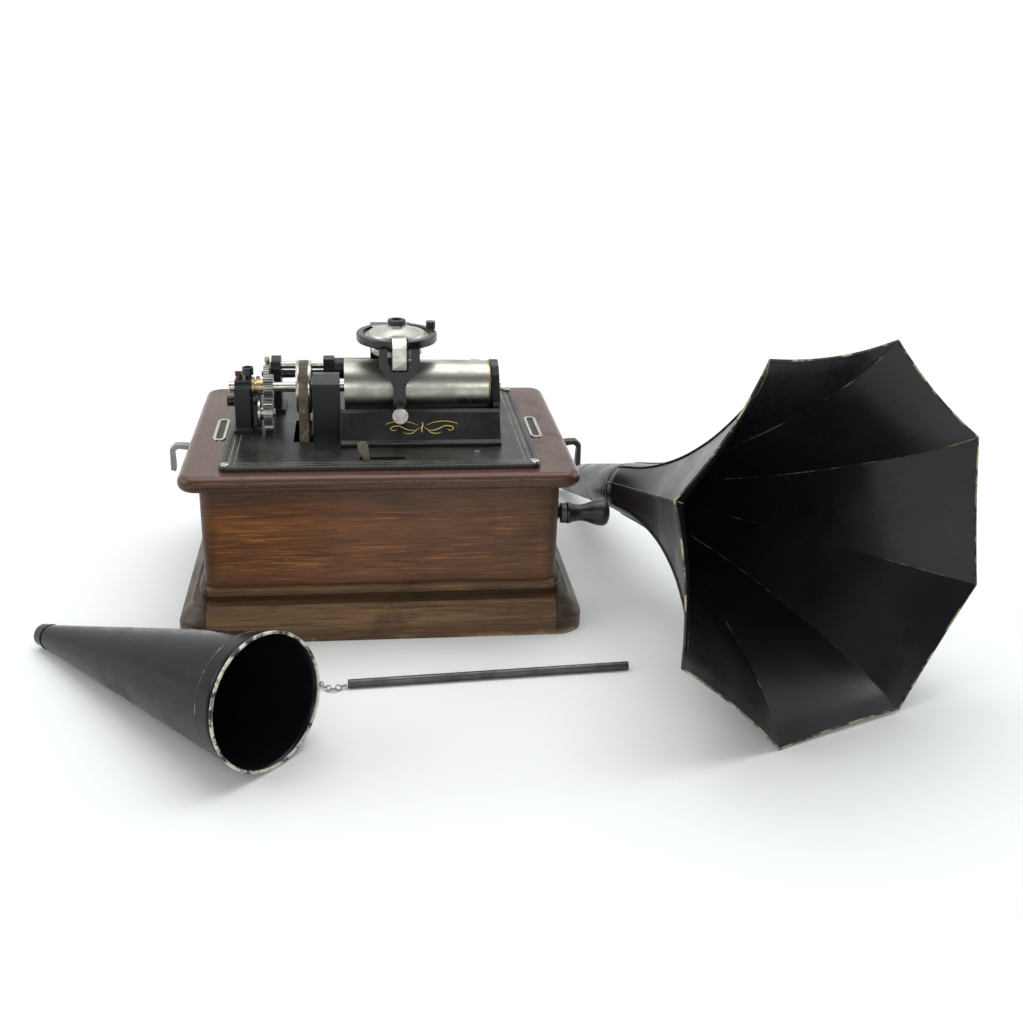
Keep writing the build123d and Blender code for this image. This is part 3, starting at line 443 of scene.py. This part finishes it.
def knurled(name, base):
    """Nickel lever head with a cross-knurled face."""
    m = Mat(name, Metallic=1.0)
    a = m.wave(260.0, m.map(rot=(0, math.radians(45), 0)))
    b = m.wave(260.0, m.map(rot=(0, math.radians(-45), 0)))
    weave = m.math("MULTIPLY", a, b)
    # painted shade: darker brown in the grooves of the knurling
    groove_shade_fac = m.range(weave, 0.05, 0.4)
    m.put("Base Color", m.mix(groove_shade_fac, (0.16, 0.13, 0.09), base))
    m.put("Roughness", m.range(weave, 0.0, 1.0, 0.5, 0.3))
    m.put("Normal", m.bump(weave, 0.6, 0.0006))
    return m.mat


M = {}
FRONT = dict(ground=(0.150, 0.054, 0.018), mid=(0.255, 0.098, 0.030), fleck=(0.58, 0.225, 0.052),
             dark=(0.055, 0.022, 0.010))
M["oak_front"] = wood("oak_front_x", "X", **FRONT, seed=1.0, wear_and_shade=front_shade_and_tone, gloss=0.40, streaks=0.85)
M["oak_side"] = wood("oak_front_y", "Y", **FRONT, seed=2.0, wear_and_shade=front_shade_and_tone, gloss=0.42)
M["oak_rim"] = wood("oak_rim", "X", (0.072, 0.030, 0.020), (0.110, 0.048, 0.030), (0.175, 0.075, 0.036),
                    (0.032, 0.014, 0.009), gloss=0.20, reach=0.038, seed=3.0, wear_and_shade=rim_shade_and_wear, streaks=0.45)
M["oak_plinth"] = wood("oak_plinth", "X", (0.105, 0.052, 0.022), (0.195, 0.105, 0.042), (0.33, 0.185, 0.068),
                       (0.050, 0.026, 0.012), gloss=0.40, reach=0.033, seed=4.0, wear_and_shade=plinth_shade_and_wear)
M["pine"] = wood("pine", "X", (0.22, 0.14, 0.07), (0.34, 0.24, 0.13), (0.42, 0.31, 0.18), (0.12, 0.08, 0.04),
                 gloss=0.6, seed=5.0)
M["japan"] = japan("japan", base=(0.0062, 0.0066, 0.0070), rough=0.36, dust=0.12, spec=0.4)
M["bedplate"] = japan("bedplate_japan", base=(0.0065, 0.0072, 0.0070), rough=0.30, dust=0.22,
                      lines=plate_lines)
M["black_enamel"] = japan("black_enamel", base=(0.0065, 0.007, 0.0085), rough=0.20, dust=0.06)
M["frame_iron"] = japan("frame_iron", base=(0.03, 0.03, 0.03), rough=0.5, dust=0.5)
M["nickel"] = metal("nickel", (0.62, 0.60, 0.54), rough=0.24)
M["mandrel"] = metal("mandrel_nickel", (0.50, 0.49, 0.44), rough=0.27, cloud=0.75, big_scale=19.0,
                     tarnish=0.25)
M["steel"] = metal("steel", (0.40, 0.39, 0.37), rough=0.32)
M["dark_steel"] = metal("dark_steel", (0.12, 0.118, 0.112), rough=0.36, stain=(0.085, 0.07, 0.055))
M["brass"] = metal("brass", (0.45, 0.35, 0.19), rough=0.32, stain=(0.2, 0.15, 0.09))
M["leather"] = belt_leather()
M["rubber"] = plain("rubber", (0.012, 0.012, 0.013), (0.03, 0.03, 0.03), 60, 0.5)
M["dark_wood"] = plain("dark_wood", (0.007, 0.006, 0.005), (0.022, 0.016, 0.011), 40, 0.30)
M["horn_black"] = japan("horn_black", base=(0.0050, 0.0056, 0.0068), rough=0.20, dust=0.03, spec=0.17,
                        relief=0.012, grain=0.08)
M["bell_black"] = japan("bell_black", base=(0.0050, 0.0054, 0.0068), rough=0.25, dust=0.05, spec=0.42,
                        axis_scale=0.3, relief=0.012, grain=0.08)
M["bell_line"] = worn_line("bell_line", bare=0.50, scale=26.0, gold=(0.36, 0.31, 0.18))
M["rim_line"] = worn_line("rim_line", bare=0.47, scale=60.0, gold=(0.40, 0.35, 0.22))
M["cone_rim"] = worn_line("cone_rim", bare=0.42, scale=110.0, gold=(0.62, 0.60, 0.50))
M["gold"] = worn_line("gold_paint", bare=0.20, scale=240.0, gold=(0.72, 0.50, 0.14))
M["knurl"] = knurled("knurled_nickel", (0.58, 0.55, 0.46))
M["wing_red"] = plain("wing_red", (0.09, 0.030, 0.022), (0.16, 0.055, 0.04), 200, 0.4, Metallic=0.6)
M["knob_nickel"] = metal("knob_nickel", (0.66, 0.60, 0.57), rough=0.35, cloud=0.45, stain=(0.36, 0.31, 0.28),
                         turn="Y", big_scale=320.0)

SLOT = {s["node"]: s["material_slot"] for s in frame["record"]["subparts"]}
OWN_FINISH = {"case_left": "oak_side", "case_right": "oak_side", "bedplate": "bedplate", "mandrel": "mandrel",
              "start_lever": "knurl", "post_screws": "wing_red", "lift_knob": "knob_nickel",
              "carriage_sleeve": "japan", "carriage_block": "rubber", "hook_left": "steel"}
for name, obj in NODES.items():
    obj.data.materials.clear()
    obj.data.materials.append(M[OWN_FINISH.get(name, SLOT[name])])


# ---------------------------------------------------------------- mesh helpers
def mm(*values):
    """Point given in millimetres, in metres."""
    return Vector(values) * MM


def add_mesh(name, verts, faces, material, body, smooth=True):
    """New piece that rides on a body and has a material and a slot."""
    mesh = bpy.data.meshes.new(name)
    mesh.from_pydata([tuple(v) for v in verts], [], faces)
    mesh.validate()
    for poly in mesh.polygons:
        poly.use_smooth = smooth
    obj = bpy.data.objects.new(name, mesh)
    SCENE.collection.objects.link(obj)
    mesh.materials.append(M[material])
    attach(obj, body)
    return obj


def grid_faces(rows, cols, closed_rows=False, base=0):
    """Quads between rows of points that each close on themselves."""
    faces = []
    for r in range(rows if closed_rows else rows - 1):
        here = base + r * cols
        there = base + (r + 1) % rows * cols
        for c in range(cols):
            c2 = (c + 1) % cols
            faces.append((here + c, here + c2, there + c2, there + c))
    return faces


def smooth_table(table, t):
    """Catmull-Rom through the table's rows."""
    i = max(0, min(len(table) - 2, sum(1 for row in table[1:-1] if t > row[0])))
    p1, p2 = table[i], table[i + 1]
    p0 = table[i - 1] if i > 0 else tuple(2 * a - b for a, b in zip(p1, p2))
    p3 = table[i + 2] if i + 2 < len(table) else tuple(2 * b - a for a, b in zip(p1, p2))
    u = (t - p1[0]) / (p2[0] - p1[0])
    out = []
    for a, b, c, d in zip(p0[1:], p1[1:], p2[1:], p3[1:]):
        m1 = (c - a) / (p2[0] - p0[0]) * (p2[0] - p1[0])
        m2 = (d - b) / (p3[0] - p1[0]) * (p2[0] - p1[0])
        out.append((2 * u ** 3 - 3 * u ** 2 + 1) * b + (u ** 3 - 2 * u ** 2 + u) * m1
                   + (-2 * u ** 3 + 3 * u ** 2) * c + (u ** 3 - u ** 2) * m2)
    return out


def rings_tube(name, path, radius, material, body, sides=10, closed=True, flat=1.0, up=None):
    """A tube round a list of points; flat squeezes it along its up direction."""
    count = len(path)
    verts = []
    for i, p in enumerate(path):
        a = path[(i - 1) % count] if closed or i > 0 else p
        b = path[(i + 1) % count] if closed or i < count - 1 else p
        run = (b - a).normalized()
        top = (up[i] if up else Vector((0, 0, 1)))
        side = run.cross(top).normalized()
        top = side.cross(run).normalized()
        r = radius[i] if isinstance(radius, list) else radius
        for k in range(sides):
            ang = 2 * math.pi * k / sides
            verts.append(p + side * (math.cos(ang) * r) + top * (math.sin(ang) * r * flat))
    faces = grid_faces(count, sides, closed_rows=closed)
    if not closed:
        faces.append(tuple(range(sides))[::-1])
        faces.append(tuple(range((count - 1) * sides, count * sides)))
    return add_mesh(name, verts, faces, material, body)


# ---------------------------------------------------------------- big horn
BELL_C = mm(311.9, -262.8, 135.6)
BELL_AZ, BELL_EL, BELL_ROLL = math.radians(-68.36), math.radians(11.02), math.radians(158.42)
BELL_WALL = 0.9 * MM
# depth behind the mouth and corner radius, in mm
BELL_SECTIONS = [(0, 148.7), (12, 134.5), (35, 114.5), (70, 91.5), (110, 69.0), (160, 46.5), (215, 29.5),
                 (262, 22.6)]
BELL_DEPTH = 262.0
# how far each panel's rim curves in between its corners, in mm, and how fast that fades behind the mouth
RIM_SAG = [5.5, 3.0, 2.0, 1.0, 1.5, 4.0, 5.0, 5.5]
SAG_FADE = 34.0
ROUND_FROM = 150.0
SHELL_INSET = 0.1
PANELS = 8
ACROSS = 14
ALONG = 44


def direction(azimuth, elevation):
    level = math.cos(elevation)
    return Vector((level * math.cos(azimuth), level * math.sin(azimuth), math.sin(elevation)))


OUT = direction(BELL_AZ, BELL_EL)
SIDE = Vector((0, 0, 1)).cross(OUT).normalized()
UP = OUT.cross(SIDE)


def spoke(k):
    """Direction from the bell's axis to corner k."""
    a = BELL_ROLL + 2 * math.pi * k / PANELS
    return SIDE * math.cos(a) + UP * math.sin(a)


def bell_point(k, u, depth, lift=0.0):
    """Point on panel k: u from 0 to 1 between its corners, depth behind the mouth and lift outwards in mm."""
    r = smooth_table(BELL_SECTIONS, depth)[0] + lift
    chord = spoke(k).lerp(spoke(k + 1), u) * r
    middle = (spoke(k) + spoke(k + 1)).normalized()
    roundness = max(0.0, (depth - ROUND_FROM) / (BELL_DEPTH - ROUND_FROM)) ** 1.5
    sag = RIM_SAG[k % PANELS] * math.exp(-depth / SAG_FADE)
    bow = 4 * u * (1 - u) * (roundness * r * (1 - math.cos(math.pi / PANELS)) - sag)
    return BELL_C - OUT * depth * MM + (chord + middle * bow) * MM


def bell_depth(j):
    """Depth of ring j in mm: the rings are closer together near the mouth."""
    return BELL_DEPTH * (j / ALONG) ** 1.35


def bell_ring(depth, lift):
    return [bell_point(c // ACROSS, (c % ACROSS) / ACROSS, depth, lift) for c in range(PANELS * ACROSS)]


def make_bell_panels():
    """Eight curved panels in one thin shell, sharp at the seams and the rim."""
    bm = bmesh.new()
    cols = PANELS * ACROSS
    layers = []
    for lift in (-SHELL_INSET, -SHELL_INSET - BELL_WALL / MM):
        layers.append([[bm.verts.new(p) for p in bell_ring(bell_depth(j), lift)] for j in range(ALONG + 1)])
    outer, inner = layers
    for j in range(ALONG):
        for c in range(cols):
            c2 = (c + 1) % cols
            bm.faces.new((outer[j][c], outer[j + 1][c], outer[j + 1][c2], outer[j][c2]))
            bm.faces.new((inner[j][c], inner[j][c2], inner[j + 1][c2], inner[j + 1][c]))
    for c in range(cols):
        c2 = (c + 1) % cols
        bm.faces.new((outer[0][c], outer[0][c2], inner[0][c2], inner[0][c]))
        bm.faces.new((outer[ALONG][c], inner[ALONG][c], inner[ALONG][c2], outer[ALONG][c2]))
    seams = set()
    for layer in layers:
        for j in range(ALONG):
            for k in range(PANELS):
                seams.add(frozenset((layer[j][k * ACROSS], layer[j + 1][k * ACROSS])))
    rim = {v for layer in layers for v in layer[0]}
    for f in bm.faces:
        f.smooth = True
    for e in bm.edges:
        if frozenset(e.verts) in seams or all(v in rim for v in e.verts):
            e.smooth = False
    bmesh.ops.recalc_face_normals(bm, faces=bm.faces)
    mesh = bpy.data.meshes.new("bell_panels")
    bm.to_mesh(mesh)
    bm.free()
    obj = bpy.data.objects.new("bell_panels", mesh)
    SCENE.collection.objects.link(obj)
    mesh.materials.append(M["bell_black"])
    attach(obj, "horn")
    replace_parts(obj, "horn_bell")


def make_bell_trim():
    """Wire round the rim, a rib outside each seam and a worn line inside it."""
    rim_path = bell_ring(0.0, -0.85)
    rings_tube("bell_rim_wire", rim_path, 0.75 * MM, "rim_line", "horn",
               up=[OUT] * len(rim_path))
    depths = [bell_depth(j) for j in range(ALONG + 1)]
    rib_depths = depths[2:]
    line_depths = depths[:36]
    for k in range(PANELS):
        rib = [bell_point(k, 0.0, depth, 0.2) for depth in rib_depths]
        rings_tube("bell_seam_%d" % k, rib, 1.15 * MM, "bell_black", "horn", sides=8,
                   closed=False, flat=0.75, up=[spoke(k)] * len(rib))
        line = [bell_point(k, 0.0, depth, -1.25) for depth in line_depths]
        rings_tube("bell_pinstripe_%d" % k, line, 0.42 * MM, "bell_line", "horn", sides=6,
                   closed=False, flat=0.5, up=[spoke(k)] * len(line))


# distance along the tube, centre and radius, in mm
TUBE = [(0, 217.1, -23.8, 85.5, 21.4), (57, 211.8, 30.0, 67.6, 19.6), (120, 205.4, 90.0, 47.6, 17.2),
        (184, 198.6, 150.0, 27.4, 14.0), (227, 194.0, 190.0, 14.2, 11.6)]
TUBE_L = 227.0


def make_tube():
    """Round tube: its first ring lies in the bell's throat plane, the others turn square to the tube."""
    steps, sides, turning = 60, 72, 9.0
    centres = []
    for i in range(steps + 1):
        x, y, z, r = smooth_table(TUBE, TUBE_L * i / steps)
        centres.append((mm(x, y, z), r * MM))
    verts = []
    for wall in (0.0, BELL_WALL):
        for i, (c, r) in enumerate(centres):
            a = centres[max(i - 1, 0)][0]
            b = centres[min(i + 1, steps)][0]
            run = (b - a).normalized()
            turn = min(1.0, i / turning)
            turn = turn * turn * (3 - 2 * turn)
            n = (-OUT).lerp(run, turn).normalized()
            right = n.cross(Vector((0, 0, 1))).normalized()
            high = right.cross(n)
            for k in range(sides):
                ang = 2 * math.pi * k / sides
                verts.append(c + (right * math.cos(ang) + high * math.sin(ang)) * (r - wall))
    rows = steps + 1
    faces = grid_faces(rows, sides)
    faces += [tuple(reversed(f)) for f in grid_faces(rows, sides, base=rows * sides)]
    for row in (0, rows - 1):
        for k in range(sides):
            k2 = (k + 1) % sides
            a, b = row * sides + k, row * sides + k2
            c, d = b + rows * sides, a + rows * sides
            faces.append((a, d, c, b) if row == 0 else (a, b, c, d))
    tube = add_mesh("horn_pipe", verts, faces, "horn_black", "horn")
    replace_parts(tube, "horn_tube")
    for name, row, size in (("pipe_end_bead", rows - 2, 1.0), ("pipe_joint_bead", 1, 1.2)):
        loop = [verts[row * sides + k] for k in range(sides)]
        centre = sum(loop, Vector()) / sides
        loop = [centre + (p - centre) * (1 - 0.2 * MM / (p - centre).length) for p in loop]
        normal = (loop[sides // 4] - centre).cross(loop[0] - centre).normalized()
        rings_tube(name, loop, size * MM, "horn_black", "horn", up=[normal] * sides)


make_bell_panels()
make_bell_trim()
make_tube()

# ---------------------------------------------------------------- small horn
CONE_C_XY = (-80.6, -296.7)
CONE_AZ = math.radians(-43.4)
CONE_R, CONE_L, CONE_TIP = 46.9, 257.5, 7.8
CONE_HALF = math.atan2(CONE_R - CONE_TIP, CONE_L)
CONE_OUT = direction(CONE_AZ, CONE_HALF)
CONE_ROLL = 1.2
CONE_C = mm(CONE_C_XY[0], CONE_C_XY[1], CONE_R * math.cos(CONE_HALF) + CONE_ROLL)


def turned(name, origin, axis, profile, material, body, segments=96, closed=True):
    """Turned piece: the profile is (distance along the axis, radius) in mm."""
    axis = axis.normalized()
    side = axis.cross(Vector((0, 0, 1)) if abs(axis.z) < 0.9 else Vector((1, 0, 0))).normalized()
    high = axis.cross(side)
    verts = []
    for along, r in profile:
        for k in range(segments):
            ang = 2 * math.pi * k / segments
            verts.append(origin + axis * along * MM + (side * math.cos(ang) + high * math.sin(ang)) * r * MM)
    return add_mesh(name, verts, grid_faces(len(profile), segments, closed_rows=closed), material, body)


def cone_piece(name, profile, material, segments):
    return turned(name, CONE_C, CONE_OUT, profile, material, "small_horn", segments)


def make_small_horn():
    """Cone, rolled rim, painted line and a ferrule at the tip."""
    slope = (CONE_R - CONE_TIP) / CONE_L
    steps, wall = 40, 0.8
    outer = [(-CONE_L * i / steps, CONE_R - slope * (CONE_L * i / steps)) for i in range(steps + 1)]
    inner = [(a, r - wall) for a, r in reversed(outer)]
    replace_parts(cone_piece("cone_shell", outer + inner, "horn_black", 128), "small_horn")
    roll_r, roll_inset, roll_points = 1.15, 0.35, 12
    roll = []
    for i in range(roll_points):
        ang = 2 * math.pi * i / roll_points
        roll.append((roll_r * math.sin(ang), CONE_R - roll_inset + roll_r * math.cos(ang)))
    cone_piece("cone_rolled_rim", roll, "cone_rim", 160)
    near, far_side = 18.0, 18.8
    band = [(-near, CONE_R - slope * near - 0.05), (-near, CONE_R - slope * near + 0.1),
            (-far_side, CONE_R - slope * far_side + 0.1), (-far_side, CONE_R - slope * far_side - 0.05)]
    cone_piece("cone_pinstripe", band, "rim_line", 128)
    ferrule = [(0.0, -0.6), (0.0, 0.5), (0.6, 1.0), (8.6, 1.5), (9.4, 2.2), (10.6, 2.2), (11.2, 1.5),
               (11.6, 1.2), (11.2, 0.9), (1.0, -0.5)]
    cone_piece("cone_ferrule", [(a - CONE_L, CONE_TIP + r) for a, r in ferrule], "horn_black", 64)


make_small_horn()

# the side knob of the left pedestal is black, and only the wing screw on its top is red
KNOB_TOP = 0.170
posts = NODES["post_screws"].data
posts.materials.append(M["japan"])
for poly in posts.polygons:
    if poly.center.z < KNOB_TOP:
        poly.material_index = 1


# ---------------------------------------------------------------- softened edges on castings
def soften(node, width):
    """Weld the CAD mesh and round its sharp edges, so that they catch the light as painted castings do."""
    obj = NODES[node]
    weld = obj.modifiers.new("weld", "WELD")
    weld.merge_threshold = 0.00002
    bevel = obj.modifiers.new("bevel", "BEVEL")
    bevel.width = width * MM
    bevel.segments = 2
    bevel.limit_method = "ANGLE"
    bevel.angle_limit = math.radians(35)


for node, width in (("left_pedestal", 1.2), ("centre_pedestal", 0.9), ("rear_pedestal_left", 1.0),
                    ("rear_pedestal_right", 0.9), ("front_casting", 0.7), ("end_gate", 0.9),
                    ("carrier_arm", 0.9), ("idler_bracket", 0.5), ("floating_weight", 0.5)):
    soften(node, width)


# ---------------------------------------------------------------- gold flourish on the casting
SLOPE_LOW = mm(0, -56.0, 143.5)
SLOPE_HIGH = mm(0, -41.5, 163.0)
SLOPE_UP = (SLOPE_HIGH - SLOPE_LOW).normalized()
SLOPE_OUT = Vector((1, 0, 0)).cross(SLOPE_UP).normalized()


def on_slope(x, up):
    """Point just proud of the casting's slope: x across and up the slope, both in mm."""
    return SLOPE_LOW + Vector((x * MM, 0, 0)) + SLOPE_UP * (up * MM) + SLOPE_OUT * (0.12 * MM)


def curve_through(points, steps=10):
    """Even points on a smooth curve through the given ones."""
    out = []
    ends = [points[0]] + points + [points[-1]]
    for i in range(1, len(ends) - 2):
        for k in range(steps):
            t = k / steps
            p0, p1, p2, p3 = ends[i - 1:i + 3]
            out.append(0.5 * (2 * p1 + (p2 - p0) * t + (2 * p0 - 5 * p1 + 4 * p2 - p3) * t * t
                              + (3 * p1 - p0 - 3 * p2 + p3) * t ** 3))
    return out + [points[-1]]


def brush_stroke(name, outline, thick):
    """Flat stroke of gold paint, thin at both ends; the outline is in mm on the slope."""
    path = curve_through([on_slope(x, up) for x, up in outline])
    last = len(path) - 1
    radius = [thick * MM * (0.25 + 0.75 * math.sin(math.pi * i / last)) for i in range(last + 1)]
    rings_tube(name, path, radius, "gold", "case", sides=6, closed=False, flat=0.25,
               up=[SLOPE_OUT] * len(path))


FLOURISH_X, FLOURISH_HALF = 34.0, 30.0
# each stroke: name, half thickness in mm, and points as (share of the half width, mm up the slope)
STROKES = [("gold_scroll", 0.42, [(0.04, 11.5), (0.2, 8.6), (0.42, 9.4), (0.62, 12.2), (0.8, 11.8),
                                  (0.86, 9.6), (0.76, 8.4), (0.69, 9.6)]),
           ("gold_sweep", 0.3, [(0.1, 12.6), (0.3, 15.2), (0.6, 16.4), (0.9, 15.0), (1.0, 13.2)]),
           ("gold_leaf", 0.34, [(0.12, 10.0), (0.24, 6.6), (0.4, 5.8), (0.52, 7.0)])]
DROP = [(0.0, 15.5), (0.6, 13.0), (-0.4, 10.0), (0.0, 6.5)]


def flourish():
    """A plain scroll with mirrored curls: an ornament, and no lettering."""
    for side, tag in ((-1, "left"), (1, "right")):
        for name, thick, points in STROKES:
            outline = [(FLOURISH_X + side * x * FLOURISH_HALF, up) for x, up in points]
            brush_stroke(name + "_" + tag, outline, thick)
    brush_stroke("gold_drop", [(FLOURISH_X + x, up) for x, up in DROP], 0.6)


flourish()


# ---------------------------------------------------------------- nickel finger behind the gears
turned("feed_finger", mm(-95.5, 34.0, 168.0), Vector((0.0, 0.12, 1.0)),
       [(0, 0.1), (0, 1.5), (14, 1.5), (17, 2.4), (20, 2.4), (21.5, 1.2), (21.6, 0.1)],
       "nickel", "case", 20, closed=False)


# ---------------------------------------------------------------- catch plates
def oval(half_wide, half_long, points=48):
    """Outline of a slot shape, round at both ends."""
    straight = half_long - half_wide
    out = []
    for k in range(points):
        ang = 2 * math.pi * (k + 0.5) / points
        shift = straight if math.sin(ang) > 0 else -straight
        out.append((half_wide * math.cos(ang), shift + half_wide * math.sin(ang)))
    return out


def catch_plate(name, centre_x):
    """Nickel ring round a long dark slot."""
    centre_y, low, high, well = -4.0, 136.03, 137.15, 136.12
    bevel = 0.3
    outer, inner = oval(5.3, 27.0), oval(2.7, 24.4)
    rings = [(outer, low), (outer, high - bevel), (oval(5.3 - bevel, 27.0 - bevel), high),
             (oval(2.7 + bevel, 24.4 + bevel), high), (inner, high - bevel), (inner, low)]
    count = len(outer)
    verts = []
    for ring, z in rings:
        verts += [mm(centre_x + x, centre_y + y, z) for x, y in ring]
    plate = add_mesh(name, verts, grid_faces(len(rings), count, closed_rows=True), "nickel", "case",
                     smooth=False)
    top = [mm(centre_x + x, centre_y + y, well) for x, y in inner]
    under = [mm(centre_x + x, centre_y + y, low) for x, y in inner]
    faces = [tuple(range(count)), tuple(range(2 * count - 1, count - 1, -1))]
    faces += [tuple(reversed(f)) for f in grid_faces(2, count)]
    slot = add_mesh(name + "_slot", top + under, faces, "rubber", "case", smooth=False)
    for piece in (plate, slot):
        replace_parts(piece, "catch_plates")


CATCH_X = 132.5
for side, name in ((-1, "catch_left"), (1, "catch_right")):
    catch_plate(name, side * CATCH_X)

# ---------------------------------------------------------------- floor
floor_mesh = bpy.data.meshes.new("floor")
HALF_FLOOR = 25
floor_corners = [(-HALF_FLOOR, -HALF_FLOOR, 0), (HALF_FLOOR, -HALF_FLOOR, 0), (HALF_FLOOR, HALF_FLOOR, 0),
                 (-HALF_FLOOR, HALF_FLOOR, 0)]
floor_mesh.from_pydata(floor_corners, [], [(0, 1, 2, 3)])
floor = bpy.data.objects.new("floor", floor_mesh)
SCENE.collection.objects.link(floor)
floor_m = Mat("floor_paint", Base_Color=(0.80, 0.815, 0.81), Roughness=0.65)
floor_axes = floor_m.sep()
far = floor_m.math("SQRT", floor_m.math("ADD", floor_m.math("POWER", floor_axes["X"], 2.0),
                                        floor_m.math("POWER", floor_axes["Y"], 2.0)))
# the floor brightens with distance until it meets the white background
floor_m.put("Emission Color", (0.97, 1.0, 0.99))
floor_m.put("Emission Strength", floor_m.range(far, 0.45, 2.2, 0.0, 0.75))
floor_m.put("Normal", floor_m.bump(floor_m.noise(180.0, 3, 0.6), 0.05, 0.0005))
floor_mesh.materials.append(floor_m.mat)
